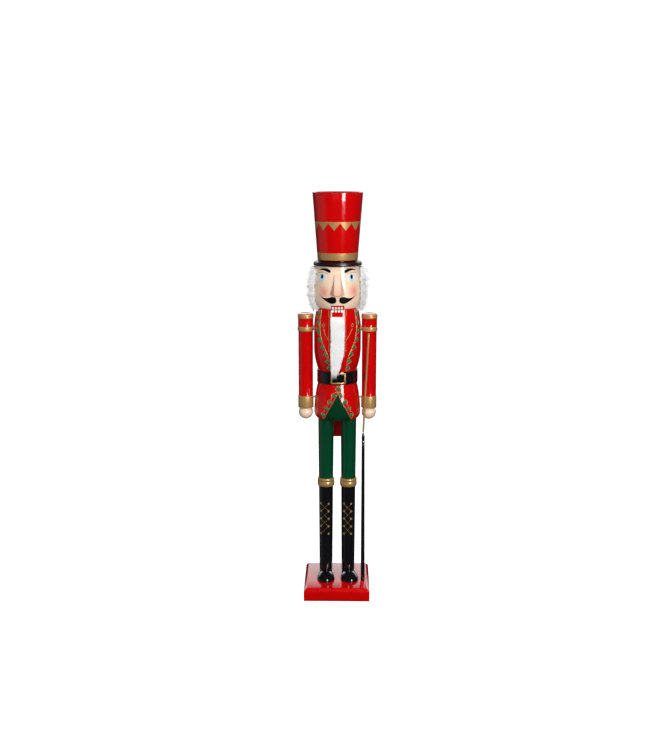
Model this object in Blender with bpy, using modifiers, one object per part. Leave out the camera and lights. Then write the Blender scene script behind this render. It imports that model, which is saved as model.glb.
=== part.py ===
"""Wooden nutcracker figure: a turned soldier on a base board, with a lever that works its jaw.

Lengths below are millimetres and angles are degrees. The body's axis is x = 0, y = 0, the base
stands on z = 0, and the figure faces -Y, so its own left hand is at +X.
"""

import math

import bmesh
import bpy
from mathutils import Matrix, Vector

MM = 0.001

# Fits
GAP = 0.3
OVERCUT = 5.0  # how far a cutter runs on past the face it opens
LEVER_SIDE_GAP = 0.5
LEVER_TOP_GAP = 0.7
LEVER_BACK_GAP = 0.9

# Base board
BASE_WIDTH = 98.0
BASE_DEPTH = 113.0
BASE_THICKNESS = 19.5
BASE_CHAMFER = 4.3

# Legs, turned dowels that stand on the base
LEG_LENGTH = 248.9
LEG_SPREAD = 33.6
LEG_FOOT_RADIUS = 9.8
LEG_KNEE_RADIUS = 10.75
LEG_HIP_RADIUS = 11.7
KNEE_HEIGHT = 143.6
KNEE_BAND_HEIGHT = 12.4
KNEE_BAND_WALL = 0.9
KNEE_BAND_SPLIT = 0.6
KNEE_BEAD = 0.5
LEG_SCREW_RADIUS = 1.9
LEG_SCREW_HEAD_RADIUS = 4.0
LEG_SCREW_HEAD_HEIGHT = 2.6
LEG_SCREW_SINK = 1.2
LEG_SCREW_GRIP = 26.0
SCREW_POINT = 3.0
LEG_DOWEL_RADIUS = 4.0
LEG_DOWEL_LENGTH = 24.0

# Shoes, half eggs in front of the legs
SHOE_WIDTH = 27.4
SHOE_HEIGHT = 12.3
SHOE_TOE = 17.7
SHOE_HEEL = 22.7
SHOE_BALL = 14.7
SHOE_CUT = 2.5
SHOE_TOE_OUT = {"left": 9.0, "right": 0.0}

# Torso, one turned piece with a skirt, a waist and a chest
SKIRT_HEIGHT = 53.5
SKIRT_RADIUS = 34.2
SKIRT_FOOT_RADIUS = 28.0
SKIRT_ROUND = 10.0
WAIST_HEIGHT = 20.5
WAIST_RADIUS = 28.6
CHEST_HEIGHT = 90.7
CHEST_RADIUS = 34.4
CHEST_SWELL = 32.0
CHEST_STRAIGHT = 25.0
NECK_RADIUS = 29.6
SLOT_WIDTH = 20.4
SLOT_DEPTH = 67.7

# Belt and buckle
BELT_MARGIN = 0.75
BELT_THICKNESS = 1.1
BELT_EDGE = 0.3
BUCKLE_WIDTH = 22.0
BUCKLE_MARGIN = 1.55
BUCKLE_LINE = 2.0
BUCKLE_THICKNESS = 1.0

# Jaw lever and its pin
PIVOT_BEHIND_AXIS = 8.0
PIVOT_DROP = 49.7
PIN_RADIUS = 1.6
PIN_END_DEPTH = 5.0
JAW_INSET = 1.4
JAW_THICKNESS = 12.0
CHIN_DROP = 51.5
ARM_ABOVE_PIVOT = 12.0
ARM_BELOW_PIVOT = 12.0
CHIN_RISE = 3.0
HANDLE_THICKNESS = 8.0
HANDLE_DROP = 204.5
HANDLE_FLARE = 2.0
HANDLE_BEND_SHARE = 0.35
LEVER_EDGE = 0.8

# Head, hat and nose
HEAD_HEIGHT = 61.4
HEAD_RADIUS = 34.2
HEAD_CHIN_RADIUS = 28.5
HEAD_TOP_RADIUS = 31.0
HEAD_WIDEST = 20.0
NECK_DOWEL_RADIUS = 3.0
NECK_DOWEL_LENGTH = 22.0
NOSE_TOP_DROP = 10.4
NOSE_HEIGHT = 29.5
NOSE_PROUD = 12.0
NOSE_RIDGE_WIDTH = 9.6
NOSE_FOOT_WIDTH = 21.0
BRIM_THICKNESS = 5.3
BRIM_RADIUS = 35.2
BRIM_TOP_RADIUS = 34.5
CROWN_HEIGHT = 98.7
CROWN_FOOT_RADIUS = 29.0
CROWN_TOP_RADIUS = 36.5
CROWN_WALL = 2.6
CROWN_RECESS = 8.0
CROWN_RIM_ROUND = 0.6
HAT_DOWEL_RADIUS = 4.0
HAT_DOWEL_REACH = 15.0

# Arms, turned pieces that hang from dowels
ARM_CLEARANCE = 0.6
ARM_LENGTH = 158.2
ARM_TOP_DROP = 9.2
SLEEVE_RADIUS = 10.75
EPAULETTE_RADIUS = 11.8
EPAULETTE_LENGTH = 25.2
CUFF_RADIUS = 11.4
CUFF_LENGTH = 18.0
HAND_RADIUS = 10.7
WRIST_SHARE = 0.65
SHOULDER_DOWEL_RADIUS = 3.25
SHOULDER_DOWEL_DROP = 30.2
WRIST_PEG_RADIUS = 1.5
WRIST_PEG_DROP = 133.9
PEG_DEPTH = 8.0

# Staff, a gilt rod in a black sleeve, by its left hand
STAFF_SHOE_GAP = 3.2
STAFF_BEFORE_BALL = 5.3
STAFF_JOINT_DROP = 18.3
STAFF_JOINT_INSET = 8.2
STAFF_JOINT_PROUD = -0.1
STAFF_TIP_DROP = 27.9
STAFF_TIP_INSET = 1.1
STAFF_TIP_PROUD = 1.8
STAFF_ROD_RADIUS = 1.5
STAFF_SLEEVE_FOOT_RADIUS = 3.1
STAFF_SLEEVE_TOP_RADIUS = 2.3
STAFF_RING_LENGTH = 3.6
STAFF_RING_RADIUS = 2.5
STAFF_BULLET_LENGTH = 12.5

# Fur
HAIR_THICKNESS = 9.5
HAIR_SHOULDER_GAP = 2.7
HAIR_OPEN_ANGLE = 120.0
HAIR_TOP_GAP = 1.2
HAIR_CLEARANCE = 0.8
BEARD_WIDTH = 19.0
BEARD_THICKNESS = 8.0
BEARD_LENGTH = 82.0
BEARD_TOP_DROP = 10.0
BEARD_TIP_SHARE = 0.45

# Stones
GEM_RADIUS = 2.75
GEM_HEIGHT = 1.5
GEM_TABLE_SHARE = 0.55
GEM_SIDES = 10
CHEST_GEMS = 8
SKIRT_GEMS = 4
CHEST_CROWDING = 0.17  # how much closer the lowest stones stand than the middle ones
CHEST_TRIM_TURN = 3.0
SKIRT_TRIM_TURN = 1.0
# Chest trim: (height above the waist as a share of the chest, angle from the front).
CHEST_TRIM = ((0.927, 56.0), (0.79, 57.0), (0.52, 51.0), (0.27, 32.0), (0.06, 27.0))
SKIRT_TRIM_TOP_DROP = 5.3
SKIRT_TRIM_FOOT = 9.4
SKIRT_TRIM_ANGLE = 36.6

# Smoothness of round pieces
BODY_STEPS = 40
LIMB_STEPS = 24
PEG_STEPS = 16

# Heights that follow from the sizes above
LEG_FOOT_Z = BASE_THICKNESS + GAP
LEG_TOP_Z = LEG_FOOT_Z + LEG_LENGTH
KNEE_Z = LEG_FOOT_Z + KNEE_HEIGHT
TORSO_Z = LEG_TOP_Z + GAP
WAIST_Z = TORSO_Z + SKIRT_HEIGHT
CHEST_Z = WAIST_Z + WAIST_HEIGHT
NECK_Z = CHEST_Z + CHEST_HEIGHT
SLOT_Z = NECK_Z - SLOT_DEPTH
PIVOT_Z = NECK_Z - PIVOT_DROP
HEAD_Z = NECK_Z + GAP
HEAD_TOP_Z = HEAD_Z + HEAD_HEIGHT
BRIM_Z = HEAD_TOP_Z + GAP
CROWN_Z = BRIM_Z + BRIM_THICKNESS + GAP
CROWN_TOP_Z = CROWN_Z + CROWN_HEIGHT
ARM_TOP_Z = NECK_Z - ARM_TOP_DROP
ARM_FOOT_Z = ARM_TOP_Z - ARM_LENGTH
BELT_Z = WAIST_Z + BELT_MARGIN
BELT_HEIGHT = WAIST_HEIGHT - 2 * BELT_MARGIN

# Radii and places that follow from them
BODY_RADIUS = max(CHEST_RADIUS, SKIRT_RADIUS)
BELT_OUTER_RADIUS = WAIST_RADIUS + GAP + BELT_THICKNESS
BUCKLE_OUTER_RADIUS = BELT_OUTER_RADIUS + GAP + BUCKLE_THICKNESS
JAW_FRONT = CHEST_RADIUS - JAW_INSET
ARM_RADIUS = max(EPAULETTE_RADIUS, CUFF_RADIUS, HAND_RADIUS, SLEEVE_RADIUS)
ARM_OFFSET = BODY_RADIUS + ARM_CLEARANCE + ARM_RADIUS
NECK_DOWEL_OFFSET = (SLOT_WIDTH / 2 + NECK_RADIUS) / 2
LEG_SIDES = {"left": LEG_SPREAD / 2, "right": -LEG_SPREAD / 2}
ARM_SIDES = {"left": ARM_OFFSET, "right": -ARM_OFFSET}

for leftover in list(bpy.data.objects):
    bpy.data.objects.remove(leftover, do_unlink=True)
parts = bpy.data.collections.new("nutcracker_figure")
cutters = bpy.data.collections.new("cutters")
bpy.context.scene.collection.children.link(parts)
bpy.context.scene.collection.children.link(cutters)


def material(name, colour, roughness, metallic=0.0):
    made = bpy.data.materials.new(name)
    made.use_nodes = True
    shader = made.node_tree.nodes["Principled BSDF"]
    shader.inputs["Base Color"].default_value = (*colour, 1.0)
    shader.inputs["Roughness"].default_value = roughness
    shader.inputs["Metallic"].default_value = metallic
    made.diffuse_color = (*colour, 1.0)
    return made


RED = material("red_lacquer", (0.60, 0.004, 0.006), 0.15)
BLACK = material("black_lacquer", (0.008, 0.008, 0.010), 0.12)
GREEN = material("green_lacquer", (0.002, 0.055, 0.020), 0.18)
SKIN = material("skin_lacquer", (0.82, 0.60, 0.44), 0.25)
GOLD = material("gold_paint", (0.48, 0.30, 0.10), 0.35, 0.8)
STEEL = material("steel", (0.55, 0.55, 0.56), 0.3, 1.0)
BEECH = material("beech", (0.62, 0.44, 0.27), 0.6)
FUR = material("white_fur", (0.80, 0.80, 0.79), 0.95)
EMERALD = material("green_glass", (0.0, 0.24, 0.09), 0.05)


def add_part(name, mesh, finish):
    made = bpy.data.objects.new(name, mesh)
    parts.objects.link(made)
    mesh.materials.clear()
    mesh.materials.append(finish)
    return made


def add_cutter(name, mesh):
    made = bpy.data.objects.new(name, mesh)
    cutters.objects.link(made)
    made.hide_render = True
    made.display_type = "WIRE"
    return made


def combine(target, other, operation="DIFFERENCE"):
    boolean = target.modifiers.new(other.name, "BOOLEAN")
    boolean.operation = operation
    boolean.solver = "EXACT"
    boolean.object = other


def smoothed(mesh):
    mesh.shade_smooth()
    mesh.set_sharp_from_angle(angle=math.radians(35))
    return mesh


def turned_mesh(name, profile, steps, ring=False):
    """A turned shape. The profile is (radius, z) points in mm, top to bottom on the outside."""
    bm = bmesh.new()
    points = [bm.verts.new((radius * MM, 0, z * MM)) for radius, z in profile]
    ends = list(zip(points, points[1:]))
    if ring:
        ends.append((points[-1], points[0]))
    for start, end in ends:
        bm.edges.new((start, end))
    outline = bpy.data.meshes.new(name + "_outline")
    bm.to_mesh(outline)
    bm.free()
    lathe = bpy.data.objects.new(name + "_lathe", outline)
    cutters.objects.link(lathe)
    screw = lathe.modifiers.new("turn", "SCREW")
    screw.axis = "Z"
    screw.steps = steps
    screw.render_steps = steps
    screw.use_merge_vertices = True
    screw.merge_threshold = 1e-6
    bpy.context.view_layer.update()
    mesh = bpy.data.meshes.new_from_object(lathe.evaluated_get(bpy.context.evaluated_depsgraph_get()))
    bpy.data.objects.remove(lathe, do_unlink=True)
    mesh.name = name
    return smoothed(mesh)


def box_mesh(name, low, high):
    """A box between two corners in mm."""
    bm = bmesh.new()
    bmesh.ops.create_cube(bm, size=1.0)
    for vert in bm.verts:
        vert.co = Vector([((high[i] if vert.co[i] > 0 else low[i]) * MM) for i in range(3)])
    mesh = bpy.data.meshes.new(name)
    bm.to_mesh(mesh)
    bm.free()
    return mesh


def rod_mesh(name, start, end, radius, steps=PEG_STEPS, end_radius=None):
    """A round rod between two points in mm."""
    start, end = Vector(start), Vector(end)
    bm = bmesh.new()
    bmesh.ops.create_cone(
        bm,
        cap_ends=True,
        segments=steps,
        radius1=radius * MM,
        radius2=(radius if end_radius is None else end_radius) * MM,
        depth=(end - start).length * MM,
    )
    turn = (end - start).to_track_quat("Z", "Y").to_matrix().to_4x4()
    bm.transform(Matrix.Translation((start + end) / 2 * MM) @ turn)
    mesh = bpy.data.meshes.new(name)
    bm.to_mesh(mesh)
    bm.free()
    return smoothed(mesh)


def board_mesh(name, outline, thickness):
    """A flat board, centred on z = 0: its outline is (x, y) points in mm."""
    curve = bpy.data.curves.new(name, "CURVE")
    curve.dimensions = "2D"
    curve.fill_mode = "BOTH"
    curve.extrude = thickness / 2 * MM
    spline = curve.splines.new("POLY")
    spline.points.add(len(outline) - 1)
    for point, (x, y) in zip(spline.points, outline):
        point.co = (x * MM, y * MM, 0, 1)
    spline.use_cyclic_u = True
    guide = bpy.data.objects.new(name + "_outline", curve)
    cutters.objects.link(guide)
    bpy.context.view_layer.update()
    mesh = bpy.data.meshes.new_from_object(guide.evaluated_get(bpy.context.evaluated_depsgraph_get()))
    bpy.data.objects.remove(guide, do_unlink=True)
    bm = bmesh.new()
    bm.from_mesh(mesh)
    bmesh.ops.remove_doubles(bm, verts=bm.verts, dist=1e-6)
    bmesh.ops.recalc_face_normals(bm, faces=bm.faces)
    bm.to_mesh(mesh)
    bm.free()
    return mesh


def levels(top, bottom, count):
    """Evenly spaced heights from top down to bottom, with both ends."""
    return [top + (bottom - top) * i / count for i in range(count + 1)]


def swell(low, high, share, power):
    """A turner's curve from low to high that leaves low steeply and arrives level."""
    return low + (high - low) * math.sin(max(0.0, min(1.0, share)) * math.pi / 2) ** power


def torso_radius(z):
    """Radius of the torso at a height: skirt, waist, chest and shoulder."""
    if z < TORSO_Z + SKIRT_ROUND:
        share = 1 - (z - TORSO_Z) / SKIRT_ROUND
        rounding = math.sqrt(max(0.0, 1 - share**2))
        return SKIRT_FOOT_RADIUS + (SKIRT_RADIUS - SKIRT_FOOT_RADIUS) * rounding
    if z < WAIST_Z:
        return swell(WAIST_RADIUS, SKIRT_RADIUS, (WAIST_Z - z) / (SKIRT_HEIGHT - SKIRT_ROUND), 0.85)
    if z < CHEST_Z:
        return WAIST_RADIUS
    if z < CHEST_Z + CHEST_SWELL + CHEST_STRAIGHT:
        return swell(WAIST_RADIUS, CHEST_RADIUS, (z - CHEST_Z) / CHEST_SWELL, 0.85)
    share = (z - CHEST_Z - CHEST_SWELL - CHEST_STRAIGHT) / (CHEST_HEIGHT - CHEST_SWELL - CHEST_STRAIGHT)
    return NECK_RADIUS + (CHEST_RADIUS - NECK_RADIUS) * max(0.0, math.cos(share * math.pi / 2)) ** 0.75


def head_radius(z):
    """Radius of the barrel-shaped head at a height."""
    if z < HEAD_Z + HEAD_WIDEST:
        return swell(HEAD_CHIN_RADIUS, HEAD_RADIUS, (z - HEAD_Z) / HEAD_WIDEST, 0.5)
    share = (z - HEAD_Z - HEAD_WIDEST) / (HEAD_HEIGHT - HEAD_WIDEST)
    return HEAD_TOP_RADIUS + (HEAD_RADIUS - HEAD_TOP_RADIUS) * max(0.0, math.cos(share * math.pi / 2))


def leg_radius(z):
    """Radius of a leg at a height: it tapers from the hip to the knee and on to the foot."""
    if z > KNEE_Z:
        share = (z - KNEE_Z) / (LEG_TOP_Z - KNEE_Z)
        return LEG_KNEE_RADIUS + (LEG_HIP_RADIUS - LEG_KNEE_RADIUS) * share
    share = (z - LEG_FOOT_Z) / (KNEE_Z - LEG_FOOT_Z)
    return LEG_FOOT_RADIUS + (LEG_KNEE_RADIUS - LEG_FOOT_RADIUS) * share


def make_base():
    """Board with its four top edges chamfered, drilled from below for the leg screws."""
    half = (BASE_WIDTH / 2, BASE_DEPTH / 2)
    mesh = box_mesh("base", (-half[0], -half[1], 0), (half[0], half[1], BASE_THICKNESS))
    weights = mesh.attributes.new("bevel_weight_edge", "FLOAT", "EDGE")
    top = BASE_THICKNESS * MM * 0.99
    for edge in mesh.edges:
        weights.data[edge.index].value = float(all(mesh.vertices[v].co.z > top for v in edge.vertices))
    base = add_part("base", mesh, RED)
    chamfer = base.modifiers.new("chamfer", "BEVEL")
    chamfer.limit_method = "WEIGHT"
    chamfer.width = BASE_CHAMFER * MM
    chamfer.segments = 1
    for side, x in LEG_SIDES.items():
        mesh = screw_mesh(f"screw_hole_{side}", GAP, BASE_THICKNESS + OVERCUT)
        hole = add_cutter(f"screw_hole_{side}", mesh)
        hole.location.x = x * MM
        combine(base, hole)


def screw_mesh(name, room, top):
    """A countersunk screw that points up, grown all round by room to make its hole."""
    head_z = LEG_SCREW_SINK
    neck_z = head_z + LEG_SCREW_HEAD_HEIGHT
    shank = LEG_SCREW_RADIUS + room
    head = LEG_SCREW_HEAD_RADIUS + room
    foot = head_z if room == 0 else -2.0
    point = [(0, top), (shank, top)] if room else [(0, top), (shank / 2, top), (shank, top - SCREW_POINT)]
    cone = [(shank, neck_z + room), (head, head_z + room)]
    mouth = [(head, foot), (0, foot)] if room else [(0, foot)]
    return turned_mesh(name, point + cone + mouth, PEG_STEPS)


def make_legs():
    """Turned legs with their knee bands, screws from the base and dowels into the torso."""
    heights = levels(LEG_TOP_Z, KNEE_Z, 2) + levels(KNEE_Z, LEG_FOOT_Z, 3)[1:]
    outline = [(0, LEG_TOP_Z)] + [(leg_radius(z), z) for z in heights] + [(0, LEG_FOOT_Z)]
    screw_top = LEG_FOOT_Z + LEG_SCREW_GRIP
    dowel_low = LEG_TOP_Z + GAP / 2 - LEG_DOWEL_LENGTH / 2
    dowel_high = dowel_low + LEG_DOWEL_LENGTH
    for side, x in LEG_SIDES.items():
        leg = add_part(f"leg_{side}", turned_mesh(f"leg_{side}", outline, LIMB_STEPS), BLACK)
        leg.location.x = x * MM
        leg.data.materials.append(GREEN)
        for face in leg.data.polygons:
            face.material_index = int(face.center.z > KNEE_Z * MM)
        foot, end = (x, 0, LEG_FOOT_Z - OVERCUT), (x, 0, screw_top + GAP)
        pilot = rod_mesh("pilot", foot, end, LEG_SCREW_RADIUS + GAP)
        combine(leg, add_cutter(f"leg_pilot_{side}", pilot))
        foot, end = (x, 0, dowel_low - GAP), (x, 0, LEG_TOP_Z + OVERCUT)
        socket = rod_mesh("socket", foot, end, LEG_DOWEL_RADIUS + GAP)
        combine(leg, add_cutter(f"leg_socket_{side}", socket))
        screw = add_part(f"leg_screw_{side}", screw_mesh(f"leg_screw_{side}", 0, screw_top), STEEL)
        screw.location.x = x * MM
        dowel = rod_mesh("dowel", (x, 0, dowel_low), (x, 0, dowel_high), LEG_DOWEL_RADIUS)
        add_part(f"leg_dowel_{side}", dowel, BEECH)
        band = add_part(f"knee_band_{side}", knee_band_mesh(f"knee_band_{side}"), GOLD)
        band.location.x = x * MM


def knee_band_mesh(name):
    """A gilt band of two beads round the top of the boot."""
    inner = leg_radius(KNEE_Z + KNEE_BAND_HEIGHT) + GAP
    edge = inner + KNEE_BAND_WALL
    split = KNEE_Z + KNEE_BAND_HEIGHT * KNEE_BAND_SPLIT
    outside = []
    for top, bottom in ((KNEE_Z + KNEE_BAND_HEIGHT, split), (split, KNEE_Z)):
        for share, z in zip(levels(0, 1, 4), levels(top, bottom, 4)):
            outside.append((edge + KNEE_BEAD * math.sin(share * math.pi), z))
    del outside[5]
    inside = [(inner, KNEE_Z), (inner, KNEE_Z + KNEE_BAND_HEIGHT)]
    return turned_mesh(name, outside + inside, LIMB_STEPS, ring=True)


def make_shoes():
    """Half-egg shoes, cut hollow at the back to fit against the legs."""
    for side, x in LEG_SIDES.items():
        bm = bmesh.new()
        bmesh.ops.create_uvsphere(bm, u_segments=24, v_segments=12, radius=1.0)
        for vert in bm.verts:
            reach = SHOE_TOE if vert.co.y < 0 else SHOE_HEEL
            x_out, y_out, z_out = vert.co.x * SHOE_WIDTH / 2, vert.co.y * reach, vert.co.z * SHOE_HEIGHT
            vert.co = Vector((x_out, y_out - SHOE_BALL, z_out)) * MM
        trim_open(bm, Vector((0, 0, 0)), Vector((0, 0, -1)))
        trim_open(bm, Vector((0, -SHOE_CUT * MM, 0)), Vector((0, 1, 0)))
        turn = Matrix.Rotation(math.radians(SHOE_TOE_OUT[side]) * math.copysign(1, x), 4, "Z")
        bm.transform(Matrix.Translation((x * MM, 0, LEG_FOOT_Z * MM)) @ turn)
        mesh = bpy.data.meshes.new(f"shoe_{side}")
        bm.to_mesh(mesh)
        bm.free()
        shoe = add_part(f"shoe_{side}", smoothed(mesh), BLACK)
        low, high = LEG_FOOT_Z - OVERCUT, LEG_FOOT_Z + SHOE_HEIGHT + OVERCUT
        ankle = rod_mesh("ankle", (x, 0, low), (x, 0, high), leg_radius(high) + GAP, 32)
        combine(shoe, add_cutter(f"ankle_{side}", ankle))


def trim_open(bm, point, normal):
    """Cuts away what lies beyond a plane and closes the cut."""
    cut = bmesh.ops.bisect_plane(
        bm,
        geom=bm.verts[:] + bm.edges[:] + bm.faces[:],
        plane_co=point,
        plane_no=normal,
        dist=1e-7,
        clear_outer=True,
    )
    rim = [item for item in cut["geom_cut"] if isinstance(item, bmesh.types.BMEdge)]
    bmesh.ops.contextual_create(bm, geom=rim)


def make_torso():
    """Turned torso, slotted from the neck down for the lever and drilled for every peg."""
    rounding = [TORSO_Z + SKIRT_ROUND * (1 - math.sin(math.radians(a))) for a in (0, 22.5, 45, 67.5, 90)]
    shoulder_z = CHEST_Z + CHEST_SWELL + CHEST_STRAIGHT
    heights = levels(NECK_Z, shoulder_z, 6)
    heights += levels(CHEST_Z + CHEST_SWELL, CHEST_Z, 6)
    heights += levels(WAIST_Z, TORSO_Z + SKIRT_ROUND, 6) + rounding[1:]
    outline = [(0, NECK_Z)] + [(torso_radius(z), z) for z in heights] + [(0, TORSO_Z)]
    torso = add_part("torso", turned_mesh("torso", outline, BODY_STEPS), RED)
    reach = CHEST_RADIUS + 2 * OVERCUT
    half = SLOT_WIDTH / 2
    slot = box_mesh("slot", (-half, -reach, SLOT_Z), (half, reach, NECK_Z + OVERCUT))
    combine(torso, add_cutter("lever_slot", slot))
    pin_hole = rod_mesh(
        "pin_hole",
        (-pin_reach() + PIN_END_DEPTH - GAP, PIVOT_BEHIND_AXIS, PIVOT_Z),
        (reach, PIVOT_BEHIND_AXIS, PIVOT_Z),
        PIN_RADIUS + GAP,
    )
    combine(torso, add_cutter("pin_hole", pin_hole))
    dowel_top = TORSO_Z + LEG_DOWEL_LENGTH / 2 + GAP
    for side, x in LEG_SIDES.items():
        socket = rod_mesh("socket", (x, 0, TORSO_Z - OVERCUT), (x, 0, dowel_top), LEG_DOWEL_RADIUS + GAP)
        combine(torso, add_cutter(f"hip_socket_{side}", socket))
    for side, x in neck_sides().items():
        low = NECK_Z + GAP / 2 - NECK_DOWEL_LENGTH / 2 - GAP
        socket = rod_mesh("socket", (x, 0, low), (x, 0, NECK_Z + OVERCUT), NECK_DOWEL_RADIUS + GAP)
        combine(torso, add_cutter(f"neck_socket_{side}", socket))
    for side, x in ARM_SIDES.items():
        out = math.copysign(1, x)
        for name, radius, drop in arm_pegs():
            z = NECK_Z - drop
            inner = torso_radius(z) - PEG_DEPTH - GAP
            socket = rod_mesh("socket", (out * inner, 0, z), (out * reach, 0, z), radius + GAP)
            combine(torso, add_cutter(f"torso_{name}_socket_{side}", socket))


def pin_reach():
    """Half the width of the torso along the pivot pin."""
    return math.sqrt(torso_radius(PIVOT_Z) ** 2 - PIVOT_BEHIND_AXIS**2)


def neck_sides():
    return {"left": NECK_DOWEL_OFFSET, "right": -NECK_DOWEL_OFFSET}


def arm_pegs():
    return (
        ("shoulder_dowel", SHOULDER_DOWEL_RADIUS, SHOULDER_DOWEL_DROP),
        ("wrist_peg", WRIST_PEG_RADIUS, WRIST_PEG_DROP),
    )


def make_belt():
    """Belt round the waist and the open frame of its buckle, which follows the belt's curve."""
    inner, outer = WAIST_RADIUS + GAP, BELT_OUTER_RADIUS
    top = BELT_Z + BELT_HEIGHT
    edge = outer - BELT_EDGE
    outline = [(edge, top), (outer, top - BELT_EDGE), (outer, BELT_Z + BELT_EDGE), (edge, BELT_Z)]
    belt_mesh = turned_mesh("belt", outline + [(inner, BELT_Z), (inner, top)], BODY_STEPS, ring=True)
    add_part("belt", belt_mesh, BLACK)
    near, far = outer + GAP, BUCKLE_OUTER_RADIUS
    low, high = BELT_Z + BUCKLE_MARGIN, top - BUCKLE_MARGIN
    ring = [(far, top), (far, BELT_Z), (near, BELT_Z), (near, top)]
    buckle = add_part("buckle", turned_mesh("buckle", ring, BODY_STEPS, ring=True), GOLD)
    half, reach = BUCKLE_WIDTH / 2, 2 * far
    frame = add_cutter("buckle_frame", box_mesh("frame", (-half, -reach, low), (half, -near / 2, high)))
    combine(buckle, frame, "INTERSECT")
    half, low, high = half - BUCKLE_LINE, low + BUCKLE_LINE, high - BUCKLE_LINE
    window = add_cutter("buckle_window", box_mesh("window", (-half, -2 * reach, low), (half, 0, high)))
    combine(buckle, window)
    for piece in (buckle, frame, window):
        piece.rotation_euler.z = math.radians(CHEST_TRIM_TURN)


def lever_outline():
    """Side view of the lever as (y, z): jaw in front, arm through the slot, handle behind."""
    front, back = -JAW_FRONT, -JAW_FRONT + JAW_THICKNESS
    top = NECK_Z + GAP - LEVER_TOP_GAP
    chin = NECK_Z - CHIN_DROP
    over, under = PIVOT_Z + ARM_ABOVE_PIVOT, PIVOT_Z - ARM_BELOW_PIVOT
    inside = BODY_RADIUS + LEVER_BACK_GAP
    outside = inside + HANDLE_THICKNESS
    foot = NECK_Z - HANDLE_DROP
    bend = foot + (under - foot) * HANDLE_BEND_SHARE
    return [
        (front, top),
        (front, chin),
        (back, chin - CHIN_RISE),
        (0, under),
        (inside, under),
        (inside, bend),
        (inside + HANDLE_FLARE, foot),
        (outside + HANDLE_FLARE, foot),
        (outside, bend),
        (outside, over - HANDLE_THICKNESS / 2),
        (outside - HANDLE_THICKNESS / 2, over),
        (back, over),
        (back, top),
    ]


def make_lever():
    """The one moving piece, sawn from a board, and the pin it turns on."""
    width = SLOT_WIDTH - 2 * LEVER_SIDE_GAP
    board = board_mesh("jaw_lever", lever_outline(), width)
    board.transform(Matrix(((0, 0, 1, 0), (1, 0, 0, 0), (0, 1, 0, 0), (0, 0, 0, 1))))
    lever = add_part("jaw_lever", board, RED)
    edges = lever.modifiers.new("eased_edges", "BEVEL")
    edges.width = LEVER_EDGE * MM
    edges.segments = 2
    edges.limit_method = "ANGLE"
    edges.angle_limit = math.radians(50)
    bore = rod_mesh(
        "lever_bore",
        (-SLOT_WIDTH, PIVOT_BEHIND_AXIS, PIVOT_Z),
        (SLOT_WIDTH, PIVOT_BEHIND_AXIS, PIVOT_Z),
        PIN_RADIUS + GAP,
    )
    combine(lever, add_cutter("lever_bore", bore))
    start = -pin_reach() + PIN_END_DEPTH
    end = pin_reach() - GAP
    start_point, end_point = ((x, PIVOT_BEHIND_AXIS, PIVOT_Z) for x in (start, end))
    add_part("pivot_pin", rod_mesh("pivot_pin", start_point, end_point, PIN_RADIUS), STEEL)


def make_head():
    """Barrel-shaped head on two dowels beside the slot, with a wedge for a nose."""
    heights = [HEAD_Z + HEAD_WIDEST * share for share in (1, 0.6, 0.3, 0.12, 0.03, 0)]
    heights = levels(HEAD_TOP_Z, HEAD_Z + HEAD_WIDEST, 5)[:-1] + heights
    outline = [(0, HEAD_TOP_Z)] + [(head_radius(z), z) for z in heights] + [(0, HEAD_Z)]
    head = add_part("head", turned_mesh("head", outline, BODY_STEPS), SKIN)
    low = NECK_Z + GAP / 2 - NECK_DOWEL_LENGTH / 2
    high = low + NECK_DOWEL_LENGTH
    for side, x in neck_sides().items():
        socket = rod_mesh("socket", (x, 0, HEAD_Z - OVERCUT), (x, 0, high + GAP), NECK_DOWEL_RADIUS + GAP)
        combine(head, add_cutter(f"head_socket_{side}", socket))
        dowel = rod_mesh("dowel", (x, 0, low), (x, 0, high), NECK_DOWEL_RADIUS)
        add_part(f"neck_dowel_{side}", dowel, BEECH)
    dowel_low = HEAD_TOP_Z - HAT_DOWEL_REACH
    foot, end = (0, 0, dowel_low - GAP), (0, 0, HEAD_TOP_Z + OVERCUT)
    socket = rod_mesh("socket", foot, end, HAT_DOWEL_RADIUS + GAP)
    combine(head, add_cutter("head_hat_socket", socket))
    make_nose([(radius + GAP, z) for radius, z in outline[1:-1]])


def make_nose(head_outline):
    """Wedge that widens and stands proud downwards, hollowed to sit on the head."""
    top, low = HEAD_TOP_Z - NOSE_TOP_DROP, HEAD_TOP_Z - NOSE_TOP_DROP - NOSE_HEIGHT
    face = head_radius(low) + GAP
    tip = head_radius(low) + NOSE_PROUD
    mesh = box_mesh("nose", (-1, -1, low), (1, 1, top))
    for vert in mesh.vertices:
        side, front, upper = vert.co.x > 0, vert.co.y < 0, vert.co.z > (low + top) / 2 * MM
        if front:
            y, half = (-head_radius(top) - 1.2 if upper else -tip), NOSE_RIDGE_WIDTH / 2
        else:
            y, half = -face + 8, (NOSE_RIDGE_WIDTH / 2 + 1.5 if upper else NOSE_FOOT_WIDTH / 2 + 2)
        vert.co.x = (half if side else -half) * MM
        vert.co.y = y * MM
    nose = add_part("nose", mesh, SKIN)
    solid = [(0, head_outline[0][1])] + head_outline + [(0, head_outline[-1][1])]
    combine(nose, add_cutter("head_room", turned_mesh("head_room", solid, BODY_STEPS * 2)))


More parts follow.
